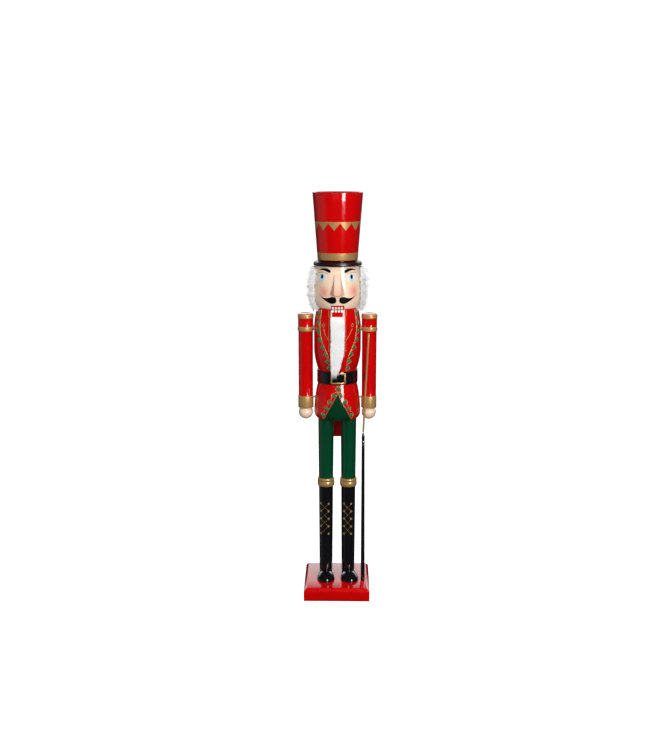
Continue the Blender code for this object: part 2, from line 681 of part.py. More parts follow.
def make_hat():
    """Brim disc and hollow-topped crown, threaded on one dowel."""
    top = BRIM_Z + BRIM_THICKNESS
    outline = [
        (0, top),
        (BRIM_TOP_RADIUS - 0.8, top),
        (BRIM_TOP_RADIUS, top - 0.8),
        (BRIM_RADIUS, BRIM_Z + 0.8),
        (BRIM_RADIUS - 0.8, BRIM_Z),
        (0, BRIM_Z),
    ]
    brim = add_part("hat_brim", turned_mesh("hat_brim", outline, BODY_STEPS), BLACK)
    floor = CROWN_TOP_Z - CROWN_RECESS
    slope = (CROWN_TOP_RADIUS - CROWN_FOOT_RADIUS) / CROWN_HEIGHT
    rim = CROWN_TOP_RADIUS - CROWN_WALL
    outline = [
        (0, floor),
        (rim - slope * CROWN_RECESS, floor),
        (rim, CROWN_TOP_Z - CROWN_RIM_ROUND),
        (rim + CROWN_RIM_ROUND, CROWN_TOP_Z),
        (CROWN_TOP_RADIUS - CROWN_RIM_ROUND, CROWN_TOP_Z),
        (CROWN_TOP_RADIUS, CROWN_TOP_Z - CROWN_RIM_ROUND),
        (CROWN_FOOT_RADIUS, CROWN_Z),
        (0, CROWN_Z),
    ]
    crown = add_part("hat_crown", turned_mesh("hat_crown", outline, BODY_STEPS), RED)
    low, high = HEAD_TOP_Z - HAT_DOWEL_REACH, CROWN_Z + HAT_DOWEL_REACH
    through = rod_mesh("hat_bore", (0, 0, BRIM_Z - OVERCUT), (0, 0, high + GAP), HAT_DOWEL_RADIUS + GAP)
    bore = add_cutter("hat_bore", through)
    combine(brim, bore)
    combine(crown, bore)
    add_part("hat_dowel", rod_mesh("hat_dowel", (0, 0, low), (0, 0, high), HAT_DOWEL_RADIUS), BEECH)


def arm_outline():
    """Arm from the top of its epaulette to the bottom of its hand."""
    top = ARM_TOP_Z
    hand_z = ARM_FOOT_Z + HAND_RADIUS
    cuff_z = hand_z + HAND_RADIUS * WRIST_SHARE
    cuff_top = cuff_z + CUFF_LENGTH
    sleeve_top = top - EPAULETTE_LENGTH
    wrist = math.asin(WRIST_SHARE)
    turns = [wrist - (math.pi / 2 + wrist) * i / 6 for i in range(6)]
    hand = [(HAND_RADIUS * math.cos(turn), hand_z + HAND_RADIUS * math.sin(turn)) for turn in turns]
    return [
        (0, top),
        (EPAULETTE_RADIUS - 1.2, top),
        (EPAULETTE_RADIUS - 0.3, top - 0.9),
        (EPAULETTE_RADIUS, top - 2),
        (EPAULETTE_RADIUS, top - 6),
        (EPAULETTE_RADIUS - 0.4, top - 6.8),
        (EPAULETTE_RADIUS - 0.4, sleeve_top + 6.8),
        (EPAULETTE_RADIUS, sleeve_top + 6),
        (EPAULETTE_RADIUS, sleeve_top),
        (SLEEVE_RADIUS, sleeve_top - 0.6),
        (SLEEVE_RADIUS, cuff_top + 0.6),
        (CUFF_RADIUS, cuff_top),
        (CUFF_RADIUS, cuff_z + 0.5),
        (CUFF_RADIUS - 0.5, cuff_z),
        *hand,
        (0, ARM_FOOT_Z),
    ]


def make_arms():
    """Arms that hang straight, each held by a dowel at the shoulder and a peg at the wrist."""
    for side, x in ARM_SIDES.items():
        out = math.copysign(1, x)
        arm = add_part(f"arm_{side}", turned_mesh(f"arm_{side}", arm_outline(), LIMB_STEPS), RED)
        arm.location.x = x * MM
        for name, radius, drop in arm_pegs():
            z = NECK_Z - drop
            inner = torso_radius(z) - PEG_DEPTH
            outer = ARM_OFFSET - SLEEVE_RADIUS + PEG_DEPTH
            mouth, depth = ARM_OFFSET - 2 * SLEEVE_RADIUS, outer + GAP
            socket = rod_mesh("socket", (out * mouth, 0, z), (out * depth, 0, z), radius + GAP)
            combine(arm, add_cutter(f"arm_{name}_socket_{side}", socket))
            peg = rod_mesh(name, (out * inner, 0, z), (out * outer, 0, z), radius)
            add_part(f"{name}_{side}", peg, BEECH)


def make_staff():
    """Gilt rod, steel ring and tapered black sleeve, one above the other and slightly bent."""
    shoe_swing = SHOE_BALL * math.sin(math.radians(SHOE_TOE_OUT["left"]))
    beside_shoe = LEG_SPREAD / 2 + SHOE_WIDTH / 2 + shoe_swing + STAFF_SHOE_GAP
    foot_x = beside_shoe + STAFF_SLEEVE_FOOT_RADIUS
    foot = Vector((foot_x, -SHOE_BALL - STAFF_BEFORE_BALL, BASE_THICKNESS + GAP))
    joint_y, tip_y = -CUFF_RADIUS - STAFF_JOINT_PROUD, -CUFF_RADIUS - STAFF_TIP_PROUD
    joint = Vector((ARM_OFFSET - STAFF_JOINT_INSET, joint_y, ARM_FOOT_Z - STAFF_JOINT_DROP))
    tip = Vector((ARM_OFFSET - STAFF_TIP_INSET, tip_y, ARM_TOP_Z - STAFF_TIP_DROP))
    down = (foot - joint).normalized()
    ring_top = joint + down * STAFF_BULLET_LENGTH
    ring_foot = ring_top + down * STAFF_RING_LENGTH
    radius = STAFF_SLEEVE_TOP_RADIUS
    profile = [
        (0, 0),
        (radius * 0.62, -GAP),
        (radius * 0.9, -STAFF_BULLET_LENGTH * 0.3),
        (radius, -STAFF_BULLET_LENGTH * 0.6),
        (radius, -STAFF_BULLET_LENGTH),
        (0, -STAFF_BULLET_LENGTH),
    ]
    socket = add_part("staff_socket", turned_mesh("staff_socket", profile, PEG_STEPS), BLACK)
    aim = down.to_track_quat("-Z", "Y").to_matrix().to_4x4()
    socket.matrix_world = Matrix.Translation(joint * MM) @ aim
    ring = rod_mesh("staff_ring", ring_top + down * GAP, ring_foot, STAFF_RING_RADIUS)
    add_part("staff_ring", ring, STEEL)
    sleeve_top = ring_foot + down * GAP
    sleeve = rod_mesh("staff_sleeve", foot, sleeve_top, STAFF_SLEEVE_FOOT_RADIUS, PEG_STEPS, radius)
    add_part("staff_sleeve", sleeve, BLACK)
    lean = (tip - joint).normalized()
    rod = rod_mesh("staff_rod", joint + lean * 2 * GAP, tip, STAFF_ROD_RADIUS)
    add_part("staff_rod", rod, GOLD)


def make_fur():
    """Plain outer shapes of the hair round the head and of the beard on the jaw."""
    top = HEAD_TOP_Z - HAIR_TOP_GAP
    low = ARM_TOP_Z + HAIR_SHOULDER_GAP
    height = top - low
    inner = max(HEAD_RADIUS, torso_radius(low) + GEM_HEIGHT + GAP) + HAIR_CLEARANCE
    outer = inner + HAIR_THICKNESS
    outline = [
        (inner + 1, top),
        (inner + HAIR_THICKNESS * 0.45, top),
        (outer, top - height * 0.35),
        (outer, top - height * 0.7),
        (inner + HAIR_THICKNESS * 0.5, low),
        (inner, low),
        (inner, top - 1),
    ]
    hair = add_part("hair", turned_mesh("hair", outline, BODY_STEPS, ring=True), FUR)
    reach = 2 * outer
    spread = reach * math.tan(math.radians(HAIR_OPEN_ANGLE / 2))
    opening = board_mesh("face_opening", [(0, 0), (-spread, -reach), (spread, -reach)], 2 * height)
    opening.transform(Matrix.Translation((0, 0, (top + low) / 2 * MM)))
    combine(hair, add_cutter("face_opening", opening))
    make_beard()


def make_beard():
    """A tongue of fur, wide on the jaw and drawn to a soft point over the belt."""
    back = max(BODY_RADIUS, BUCKLE_OUTER_RADIUS) + GAP
    top = NECK_Z - BEARD_TOP_DROP
    half = BEARD_WIDTH / 2
    mesh = box_mesh("beard", (-half, -back - BEARD_THICKNESS, top - BEARD_LENGTH), (half, -back, top))
    for vert in mesh.vertices:
        if vert.co.z < (top - BEARD_LENGTH / 2) * MM:
            vert.co.x *= BEARD_TIP_SHARE
            if vert.co.y < -(back + 1) * MM:
                vert.co.y = -(back + BEARD_THICKNESS * BEARD_TIP_SHARE) * MM
    beard = add_part("beard", mesh, FUR)
    round_off = beard.modifiers.new("soft_edges", "BEVEL")
    round_off.width = 1.5 * MM
    round_off.segments = 2


def along(points, count, crowding=0.0):
    """Points along a smooth line through (height, angle) pairs on the torso, a share closer at its end."""
    fine = []
    for i in range(len(points) - 1):
        before = Vector(points[max(i - 1, 0)])
        start, end = Vector(points[i]), Vector(points[i + 1])
        after = Vector(points[min(i + 2, len(points) - 1)])
        for step in range(24):
            t = step / 24
            fine.append(
                start
                + (end - before) * (t / 2)
                + (2 * before - 5 * start + 4 * end - after) * (t * t / 2)
                + (3 * start - before - 3 * end + after) * (t**3 / 2)
            )
    fine.append(Vector(points[-1]))
    spots = [on_torso(z, angle)[0] for z, angle in fine]
    lengths = [0.0]
    for first, second in zip(spots, spots[1:]):
        lengths.append(lengths[-1] + (second - first).length)
    chosen = []
    for k in range(count):
        share = k / (count - 1)
        wanted = lengths[-1] * share * (1 + crowding - crowding * share)
        i = max(1, next(i for i, length in enumerate(lengths) if length >= wanted - 1e-9))
        reached = (wanted - lengths[i - 1]) / max(lengths[i] - lengths[i - 1], 1e-9)
        chosen.append(fine[i - 1].lerp(fine[i], reached))
    return chosen


def on_torso(z, angle):
    """A point on the torso and the way its surface faces there. Angles go towards its left."""
    turn = math.radians(angle)
    slope = torso_radius(z + 0.5) - torso_radius(z - 0.5)
    out = Vector((math.sin(turn), -math.cos(turn), 0))
    return out * torso_radius(z) + Vector((0, 0, z)), (out - Vector((0, 0, slope))).normalized()


def make_gems():
    """Glass stones down both lapels and down both edges of the skirt's opening."""
    chest = [(CHEST_Z + CHEST_HEIGHT * share, angle) for share, angle in CHEST_TRIM]
    skirt = [(WAIST_Z - SKIRT_TRIM_TOP_DROP, 0.0), (TORSO_Z + SKIRT_TRIM_FOOT, SKIRT_TRIM_ANGLE)]
    places = []
    for sign in (-1, 1):
        lapel = along(chest, CHEST_GEMS, CHEST_CROWDING)
        places += [(z, sign * angle + CHEST_TRIM_TURN) for z, angle in lapel]
    places.append((skirt[0][0], CHEST_TRIM_TURN))
    for sign in (-1, 1):
        places += [(z, sign * angle + SKIRT_TRIM_TURN) for z, angle in along(skirt, SKIRT_GEMS + 1)[1:]]
    for number, (z, angle) in enumerate(places, 1):
        spot, facing = on_torso(z, angle)
        back = spot + facing * GAP * 1.5
        name = f"gem_{number:02d}"
        table = GEM_RADIUS * GEM_TABLE_SHARE
        gem = rod_mesh(name, back, back + facing * GEM_HEIGHT, GEM_RADIUS, GEM_SIDES, table)
        add_part(name, gem, EMERALD)


make_base()
make_legs()
make_shoes()
make_torso()
make_belt()
make_lever()
make_head()
make_hat()
make_arms()
make_staff()
make_fur()
make_gems()
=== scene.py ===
"""Wooden nutcracker figure: lacquered turnings, fur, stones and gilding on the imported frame."""

import random
from math import asin, atan2, ceil, cos, degrees, hypot, pi, radians, sin, sqrt, tan, tau

import bmesh
import bpy
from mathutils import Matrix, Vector


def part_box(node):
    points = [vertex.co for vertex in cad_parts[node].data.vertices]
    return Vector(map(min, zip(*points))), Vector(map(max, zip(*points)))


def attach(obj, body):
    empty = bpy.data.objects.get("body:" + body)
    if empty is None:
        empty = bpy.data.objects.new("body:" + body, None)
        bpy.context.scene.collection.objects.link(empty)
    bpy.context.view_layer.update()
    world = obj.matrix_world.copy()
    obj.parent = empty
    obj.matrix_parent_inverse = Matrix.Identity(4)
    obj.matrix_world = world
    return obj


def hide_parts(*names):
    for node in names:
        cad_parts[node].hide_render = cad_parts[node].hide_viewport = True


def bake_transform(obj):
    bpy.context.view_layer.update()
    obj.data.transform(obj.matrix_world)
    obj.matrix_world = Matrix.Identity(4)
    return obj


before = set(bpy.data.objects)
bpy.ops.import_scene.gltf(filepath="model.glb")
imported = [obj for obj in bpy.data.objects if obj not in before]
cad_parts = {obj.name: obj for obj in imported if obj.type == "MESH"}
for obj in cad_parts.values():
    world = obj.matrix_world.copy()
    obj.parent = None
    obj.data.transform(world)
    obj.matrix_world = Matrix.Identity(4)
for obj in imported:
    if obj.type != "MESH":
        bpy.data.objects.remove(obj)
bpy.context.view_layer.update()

# Base board
# A sawn beech board that the figure stands on, its four top edges chamfered. It is sprayed all over
# with red gloss lacquer, and two countersunk screws come up through it into the legs.

MM = 0.001
RED = (0.56, 0.0004, 0.0010)
GOLD = (0.60, 0.37, 0.135)
BASE_CHAMFER = 4.3
SCREW_SHANK = 2.2
SCREW_HEAD = 4.3
SCREW_SINK = 3.8
# How far a cutting shape reaches past what it cuts.
OVERCUT = 5


def span(node):
    """The lowest and highest corners of a CAD node, in millimetres."""
    low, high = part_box(node)
    return Vector(low) / MM, Vector(high) / MM


def axis_of(node):
    """Where an upright node's axis stands, on the figure's middle plane."""
    low, high = span(node)
    return (low.x + high.x) / 2, 0


def begin(name, primitive, **settings):
    """Adds a primitive with nothing else selected and gives it its name."""
    bpy.ops.object.select_all(action="DESELECT")
    primitive(**settings)
    piece = bpy.context.object
    piece.name = name
    piece.data.name = name
    return piece


def choose(piece):
    """Selects a piece and nothing else."""
    bpy.ops.object.select_all(action="DESELECT")
    piece.select_set(True)
    bpy.context.view_layer.objects.active = piece


def edit(select=None):
    """Goes into edit mode, and selects everything if asked."""
    bpy.ops.object.mode_set(mode="EDIT")
    if select:
        bpy.ops.mesh.select_all(action=select)


def leave():
    """Goes back to object mode."""
    bpy.ops.object.mode_set(mode="OBJECT")


def apply_place(piece):
    """Puts the piece's place, turn and size into its mesh."""
    choose(piece)
    bpy.ops.object.transform_apply(location=True, rotation=True, scale=True)
    return piece


def block(name, low, high):
    """A sawn block between two corners, in millimetres."""
    low, high = Vector(low) * MM, Vector(high) * MM
    piece = begin(name, bpy.ops.mesh.primitive_cube_add, size=1.0, location=(low + high) / 2)
    piece.scale = high - low
    return apply_place(piece)


def pick(piece, kind, test):
    """In edit mode, selects the verts, edges or faces whose corners all pass a test on their place."""
    bpy.ops.mesh.select_mode(type={"verts": "VERT", "edges": "EDGE", "faces": "FACE"}[kind])
    bpy.ops.mesh.select_all(action="DESELECT")
    shape = bmesh.from_edit_mesh(piece.data)
    for item in getattr(shape, kind):
        corners = [item] if kind == "verts" else item.verts
        item.select_set(all(test(corner.co / MM) for corner in corners))
    bmesh.update_edit_mesh(piece.data)


def apply_modifier(piece, modifier):
    choose(piece)
    bpy.ops.object.modifier_apply(modifier=modifier.name)


def ease(piece, width, segments=3, angle=32):
    """Rounds every edge sharper than an angle, as sanding does."""
    rounding = piece.modifiers.new("eased_edges", "BEVEL")
    rounding.width = width * MM
    rounding.segments = segments
    rounding.limit_method = "ANGLE"
    rounding.angle_limit = radians(angle)
    apply_modifier(piece, rounding)
    return piece


def cut(piece, cutter, operation="DIFFERENCE"):
    """Cuts a piece with another, which is used up."""
    saw = piece.modifiers.new("cut", "BOOLEAN")
    saw.operation = operation
    saw.solver = "EXACT"
    saw.object = cutter
    apply_modifier(piece, saw)
    bpy.data.objects.remove(cutter, do_unlink=True)
    return piece


def outline(name, *lines):
    """Bent wires, in millimetres: each is a plane merged to a point and extruded along its line."""
    piece = None
    for line in lines:
        points = [Vector(point) * MM for point in line]
        if piece is None:
            piece = begin(name, bpy.ops.mesh.primitive_plane_add, size=MM)
            edit()
            bpy.ops.mesh.select_mode(type="VERT")
            bpy.ops.mesh.delete(type="VERT")
        bpy.ops.mesh.select_all(action="DESELECT")
        bpy.ops.mesh.primitive_plane_add(size=MM, location=points[0])
        bpy.ops.mesh.merge(type="CENTER")
        for start, end in zip(points, points[1:]):
            bpy.ops.mesh.extrude_region_move(TRANSFORM_OT_translate={"value": end - start})
    leave()
    return piece


def turned(name, profile, centre=(0, 0), steps=96):
    """A piece turned on an upright axis. The profile is (radius, height) points in millimetres."""
    x, y = centre
    piece = outline(name, [(x + radius, y, height) for radius, height in profile])
    edit("SELECT")
    bpy.ops.mesh.spin(steps=steps, angle=tau, center=(x * MM, y * MM, 0), axis=(0, 0, 1))
    bpy.ops.mesh.select_all(action="SELECT")
    bpy.ops.mesh.remove_doubles(threshold=2e-6)
    bpy.ops.mesh.normals_make_consistent(inside=False)
    leave()
    return piece


def ring(name, inner, outer, bottom, top, steps=96):
    """A flat turned band round the figure's axis."""
    profile = [(inner, bottom), (outer, bottom), (outer, top), (inner, top), (inner, bottom)]
    return turned(name, profile, steps=steps)


def solid(radius_at, heights, bottom, top, less=0.0):
    """The profile of a solid turning, from a function that gives its radius at a height."""
    return [(0, bottom)] + [(radius_at(z) - less, z) for z in heights] + [(0, top)]


def operator(operation, swapped=False):
    """A method that adds one Math node on a socket and another value."""

    def method(self, other):
        return self.math(operation, *((other, self) if swapped else (self, other)))

    return method


class Socket:
    """A socket in a material's nodes. Sums on it add Math nodes, and node() adds any other kind."""

    def __init__(self, tree, socket):
        self.tree, self.socket = tree, socket

    def node(self, kind, settings, inputs, output=0):
        made = self.tree.nodes.new("ShaderNode" + kind)
        for key, value in settings.items():
            if key == "curve":
                points = made.mapping.curves[0].points
                for place in value[1:-1]:
                    points.new(*place)
                points[0].location, points[-1].location = value[0], value[-1]
                made.mapping.update()
            else:
                setattr(made, key, value)
        for key, value in inputs.items():
            self.feed(made.inputs[key], value)
        return Socket(self.tree, made.outputs[output])

    def feed(self, target, value):
        if isinstance(value, Socket):
            self.tree.links.new(value.socket, target)
        elif isinstance(value, tuple) and len(value) < len(target.default_value):
            target.default_value = (*value, 1.0)
        else:
            target.default_value = value

    def math(self, operation, *values, clamp=False):
        return self.node("Math", {"operation": operation, "use_clamp": clamp}, dict(enumerate(values)))

    __add__ = __radd__ = operator("ADD")
    __sub__, __rsub__ = operator("SUBTRACT"), operator("SUBTRACT", swapped=True)
    __mul__ = __rmul__ = operator("MULTIPLY")
    __truediv__ = operator("DIVIDE")
    __pow__ = operator("POWER")
    __and__ = operator("MINIMUM")
    __or__ = operator("MAXIMUM")

    def __abs__(self):
        return self.math("ABSOLUTE", self)

    def __neg__(self):
        return self * -1.0

    def below(self, limit, soft=0.15):
        """1 where this is under the limit and 0 above it, with an edge of soft."""
        return self.math("MULTIPLY_ADD", self, -1 / soft, 0.5 + limit / soft, clamp=True)

    def above(self, limit, soft=0.15):
        return self.math("MULTIPLY_ADD", self, 1 / soft, 0.5 - limit / soft, clamp=True)

    def between(self, low, high, soft=0.15):
        return self.above(low, soft) & self.below(high, soft)

    def mixed(self, first, second):
        """The first colour where this mask is 0 and the second where it is 1."""
        return self.node("Mix", {"data_type": "RGBA"}, {0: self, 6: first, 7: second}, output=2)

    def blended(self, first, second):
        """The first number where this mask is 0 and the second where it is 1."""
        return self * (second - first) + first

    def noise(self, scale, detail=2.0, roughness=0.5):
        sizes = {"Vector": self, "Scale": scale, "Detail": detail, "Roughness": roughness}
        return self.node("TexNoise", {}, sizes)

    def stretched(self, x, y, z):
        return self.node("Mapping", {}, {"Vector": self, "Scale": (x, y, z)})


class Paint:
    """A material under way: where the brush is in millimetres and in degrees round from the front."""

    def __init__(self, name, centre=(0, 0)):
        self.material = bpy.data.materials.new(name)
        self.material.use_nodes = True
        tree = self.material.node_tree
        self.shader = tree.nodes["Principled BSDF"]
        self.place = Socket(tree, None).node("TexCoord", {}, {}, output="Object")
        axes = [self.place.node("SeparateXYZ", {}, {0: self.place}, output=axis) for axis in range(3)]
        wobble = self.place.noise(160, 1) - 0.5
        self.x = axes[0] * 1000 - centre[0] + wobble * 0.25
        self.y = axes[1] * 1000 - centre[1]
        self.z = axes[2] * 1000 + wobble * 0.25
        self.angle = self.x.math("ARCTAN2", self.x, -self.y) * (180 / pi)

    def finish(self, colour, roughness, metallic=0.0, height=None, depth=0.02, **constants):
        """Feeds the shader. The height is in parts of a depth in millimetres."""
        inputs = self.shader.inputs
        self.place.feed(inputs["Base Color"], colour)
        self.place.feed(inputs["Roughness"], roughness)
        self.place.feed(inputs["Metallic"], metallic)
        for name, value in constants.items():
            inputs[name.replace("_", " ")].default_value = value
        if height is not None:
            sizes = {"Strength": 1.0, "Distance": depth * MM, "Height": height}
            self.place.feed(inputs["Normal"], self.place.node("Bump", {}, sizes, output="Normal"))
        return self.material

    def lacquer(self, colour, gold=None, gloss=0.09, coat=0.04):
        """Gloss lacquer over wood, a little uneven, with gilding where gold is 1."""
        drift = self.place.noise(28, 3)
        shade = drift.blended(0.86, 1.12)
        grey = self.place.node("CombineXYZ", {}, {0: shade, 1: shade, 2: shade})
        modes = {"operation": "MULTIPLY"}
        colour = self.place.node("VectorMath", modes, {0: self.as_colour(colour), 1: grey})
        peel = self.place.noise(420, 2)
        grain = self.place.stretched(1, 1, 0.12).noise(900, 3)
        roughness = drift.blended(gloss * 0.8, gloss * 1.5)
        height = peel * 0.6 + grain * 0.4
        metallic = 0.0
        if gold is not None:
            flecks = self.place.noise(700, 3).between(0.3, 0.75, 0.3)
            gilt = flecks.mixed(tuple(0.78 * part for part in GOLD), GOLD)
            colour = gold.mixed(colour, gilt)
            roughness = roughness + gold * 0.27
            height = height + gold * 2.5
            metallic = gold * 0.5
        return self.finish(colour, roughness, metallic, height, Coat_Weight=0.6, Coat_Roughness=coat)

    def as_colour(self, colour):
        if isinstance(colour, Socket):
            return colour
        return self.place.node("CombineXYZ", {}, dict(enumerate(colour)))


def dress(piece, material, slot, *nodes, body="figure", smooth=38):
    """Gives a finished piece its smoothness, material and body, in place of CAD nodes."""
    choose(piece)
    bpy.ops.object.shade_smooth_by_angle(angle=radians(smooth))
    piece.data.materials.clear()
    piece.data.materials.append(material)
    if nodes:
        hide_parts(*nodes)
    if body:
        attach(piece, body)
    return piece


def coat_nodes(material, *names):
    """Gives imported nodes, which keep their own shapes, a material."""
    for name in names:
        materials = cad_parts[name].data.materials
        materials.clear()
        materials.append(material)


RED_GLOSS = Paint("red_gloss").lacquer(RED)

base_low, base_high = span("base")
board = block("base_board", base_low, base_high)
edit()
pick(board, "edges", lambda corner: corner.z > base_high.z - 0.01)
bpy.ops.mesh.bevel(offset=BASE_CHAMFER * MM, segments=1)
leave()
ease(board, 0.55)
for side in ("left", "right"):
    low, high = span(f"leg_screw_{side}")
    middle = (low + high) / 2
    above, under = base_high.z + OVERCUT, -OVERCUT
    screw_hole = [(0, above), (SCREW_SHANK, above), (SCREW_SHANK, low.z + SCREW_SINK)]
    screw_hole += [(SCREW_HEAD, low.z), (SCREW_HEAD, under), (0, under)]
    cut(board, turned("screw_hole", screw_hole, (middle.x, middle.y), 32))
dress(board, RED_GLOSS, "red_lacquer", "base")

# Leg screws
# Zinc-plated steel countersunk screws, driven up through the base into the feet of the legs.
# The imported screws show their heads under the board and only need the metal's finish.

steel = Paint("bright_steel")
brushed = steel.place.stretched(1, 1, 0.1).noise(2600, 3)
STEEL = steel.finish(
    brushed.mixed((0.50, 0.50, 0.52), (0.66, 0.66, 0.68)),
    brushed.blended(0.16, 0.32),
    1.0,
    brushed,
    0.006,
)
coat_nodes(STEEL, "leg_screw_left", "leg_screw_right", "pivot_pin")

# Dowels and pegs
# Plain beech dowels glued into blind holes: legs to torso, head to torso, hat to head, arms to torso.
# They are bare wood, hidden but for the arms' pegs where they cross the gap.

beech = Paint("bare_beech")
rays = beech.place.stretched(1, 1, 0.2).noise(1500, 4, 0.6)
rings = beech.place.stretched(1, 1, 0.08).noise(260, 2)
BEECH = beech.finish(
    (rays * 0.6 + rings * 0.4).mixed((0.42, 0.27, 0.15), (0.66, 0.48, 0.31)),
    rays.blended(0.5, 0.7),
    0.0,
    rays,
    0.03,
)
coat_nodes(BEECH, *(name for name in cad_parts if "dowel" in name or "peg" in name))

# Legs
# Turned beech dowels that taper to the foot. Above the knee they are trousers in dark green gloss;
# below it they are black boots, with gilt laces drawn by brush between five pairs of gilt eyelets.

GREEN = (0.0006, 0.052, 0.019)
BLACK = (0.0045, 0.0045, 0.0055)
LEG_FOOT = 9.8
LEG_KNEE = 10.75
LEG_HIP = 11.7
LACE_FOOT = 69.4
LACE_PITCH = 11.83
LACE_ROWS = 5
THREAD_HALF = 0.19
EYELET_RADIUS = 1.3
# Sideways place of the middle of each boot's laces, and how far its eyelets stand from there.
LACING = {"left": (-0.8, 5.4), "right": (-1.7, 5.8)}


def drill(piece, *pegs, room=0.3):
    """Bores a piece for its pegs: round holes along each peg's length, with room all round."""
    for peg in pegs:
        low, high = span(peg)
        size = high - low
        axis = max(range(3), key=lambda i: size[i])  # 0, 1 or 2: the peg's own length
        radius = (min(size) / 2 + room) * MM
        turn = {0: (0, pi / 2, 0), 1: (pi / 2, 0, 0), 2: (0, 0, 0)}[axis]
        place = (low + high) / 2 * MM
        length = (size[axis] + 2 * room) * MM
        shape = {"vertices": 32, "radius": radius, "depth": length, "location": place, "rotation": turn}
        cut(piece, apply_place(begin("bore", bpy.ops.mesh.primitive_cylinder_add, **shape)))
    return piece


leg_top = span("leg_left")[1].z
leg_foot = span("leg_left")[0].z
knee = span("knee_band_left")[0].z
leg_centres = {}
for side in ("left", "right"):
    centre = leg_centres[side] = axis_of(f"leg_{side}")
    profile = [(0, leg_foot), (LEG_FOOT, leg_foot)]
    for i in range(1, 7):
        profile.append((LEG_FOOT + (LEG_KNEE - LEG_FOOT) * i / 6, leg_foot + (knee - leg_foot) * i / 6))
    for i in range(1, 5):
        profile.append((LEG_KNEE + (LEG_HIP - LEG_KNEE) * i / 4, knee + (leg_top - knee) * i / 4))
    leg = ease(turned(f"trouser_leg_{side}", profile + [(0, leg_top)], centre, 64), 0.5)
    drill(leg, f"leg_dowel_{side}", f"leg_screw_{side}")
    paint = Paint(f"boot_and_trouser_{side}", centre)
    up = paint.z - (leg_foot + LACE_FOOT)
    reach = LACE_PITCH * (LACE_ROWS - 1)
    cell = up.math("FLOORED_MODULO", up, LACE_PITCH)
    row = up.math("FLOORED_MODULO", up + LACE_PITCH / 2, LACE_PITCH) - LACE_PITCH / 2
    lace_middle, eyelet_reach = LACING[side]
    aside = paint.x - lace_middle
    slant = cell * (2 * eyelet_reach / LACE_PITCH) - eyelet_reach
    rising, falling = abs(aside - slant), abs(aside + slant)
    if side == "right":
        falling = falling + up.below(LACE_PITCH, 0.5) * 5
    threads = (rising & falling).below(THREAD_HALF, 0.2) & up.between(0, reach)
    eyelet = ((abs(aside) - eyelet_reach) ** 2 + (row * 0.78) ** 2) ** 0.5
    eyelets = eyelet.below(EYELET_RADIUS, 0.2) & up.between(-4, reach + 4)
    laces = (threads * 0.8 | eyelets) & paint.y.below(0)
    boot = paint.z.below(knee + 3).mixed(GREEN, BLACK)
    dress(leg, paint.lacquer(boot, laces), "leg_lacquer", f"leg_{side}")

# Knee bands
# Turned rings glued round the tops of the boots, two soft beads with a groove between them,
# gilded thickly and burnished, so the gilding lies in low lumps.

KNEE_BAND_WALL = 0.9
KNEE_BEAD = 0.8

gilt = Paint("burnished_gilding")
lumps = gilt.place.stretched(1, 1, 1.6).noise(240, 2)
specks = gilt.place.noise(1500, 3)
GILT = gilt.finish(
    specks.between(0.3, 0.7, 0.3).mixed(tuple(0.75 * part for part in GOLD), GOLD),
    specks.blended(0.24, 0.42),
    0.55,
    lumps * 0.85 + specks * 0.15,
    0.5,
    Coat_Weight=0.35,
    Coat_Roughness=0.08,
)
for side, centre in leg_centres.items():
    low, high = span(f"knee_band_{side}")
    inner = LEG_KNEE + (LEG_HIP - LEG_KNEE) * (high.z - knee) / (leg_top - knee) + 0.3
    split = low.z + (high.z - low.z) * 0.6
    profile = [(inner, low.z)]
    for bottom, top in ((low.z, split), (split, high.z)):
        for i in range(9):
            share = i / 8
            bead = KNEE_BAND_WALL + KNEE_BEAD * sin(share * pi) ** 0.7
            profile.append((inner + bead, bottom + (top - bottom) * share + (0.02 if i == 0 else 0)))
    profile += [(inner, high.z), (inner, low.z)]
    band = turned(f"gilt_band_{side}", profile, centre, 64)
    dress(band, GILT, "gold_paint", f"knee_band_{side}", smooth=60)

# Shoes
# Half eggs of turned beech, sawn flat below and hollowed at the back to fit the legs, in black gloss.
# The figure's left toe points a little outwards.

SHOE_WIDTH = 27.4
SHOE_HEIGHT = 12.3
SHOE_TOE = 17.7
SHOE_HEEL = 22.7
SHOE_BALL = 14.7
SHOE_CUT = 2.5
SHOE_TURN = {"left": 9.0, "right": 0.0}

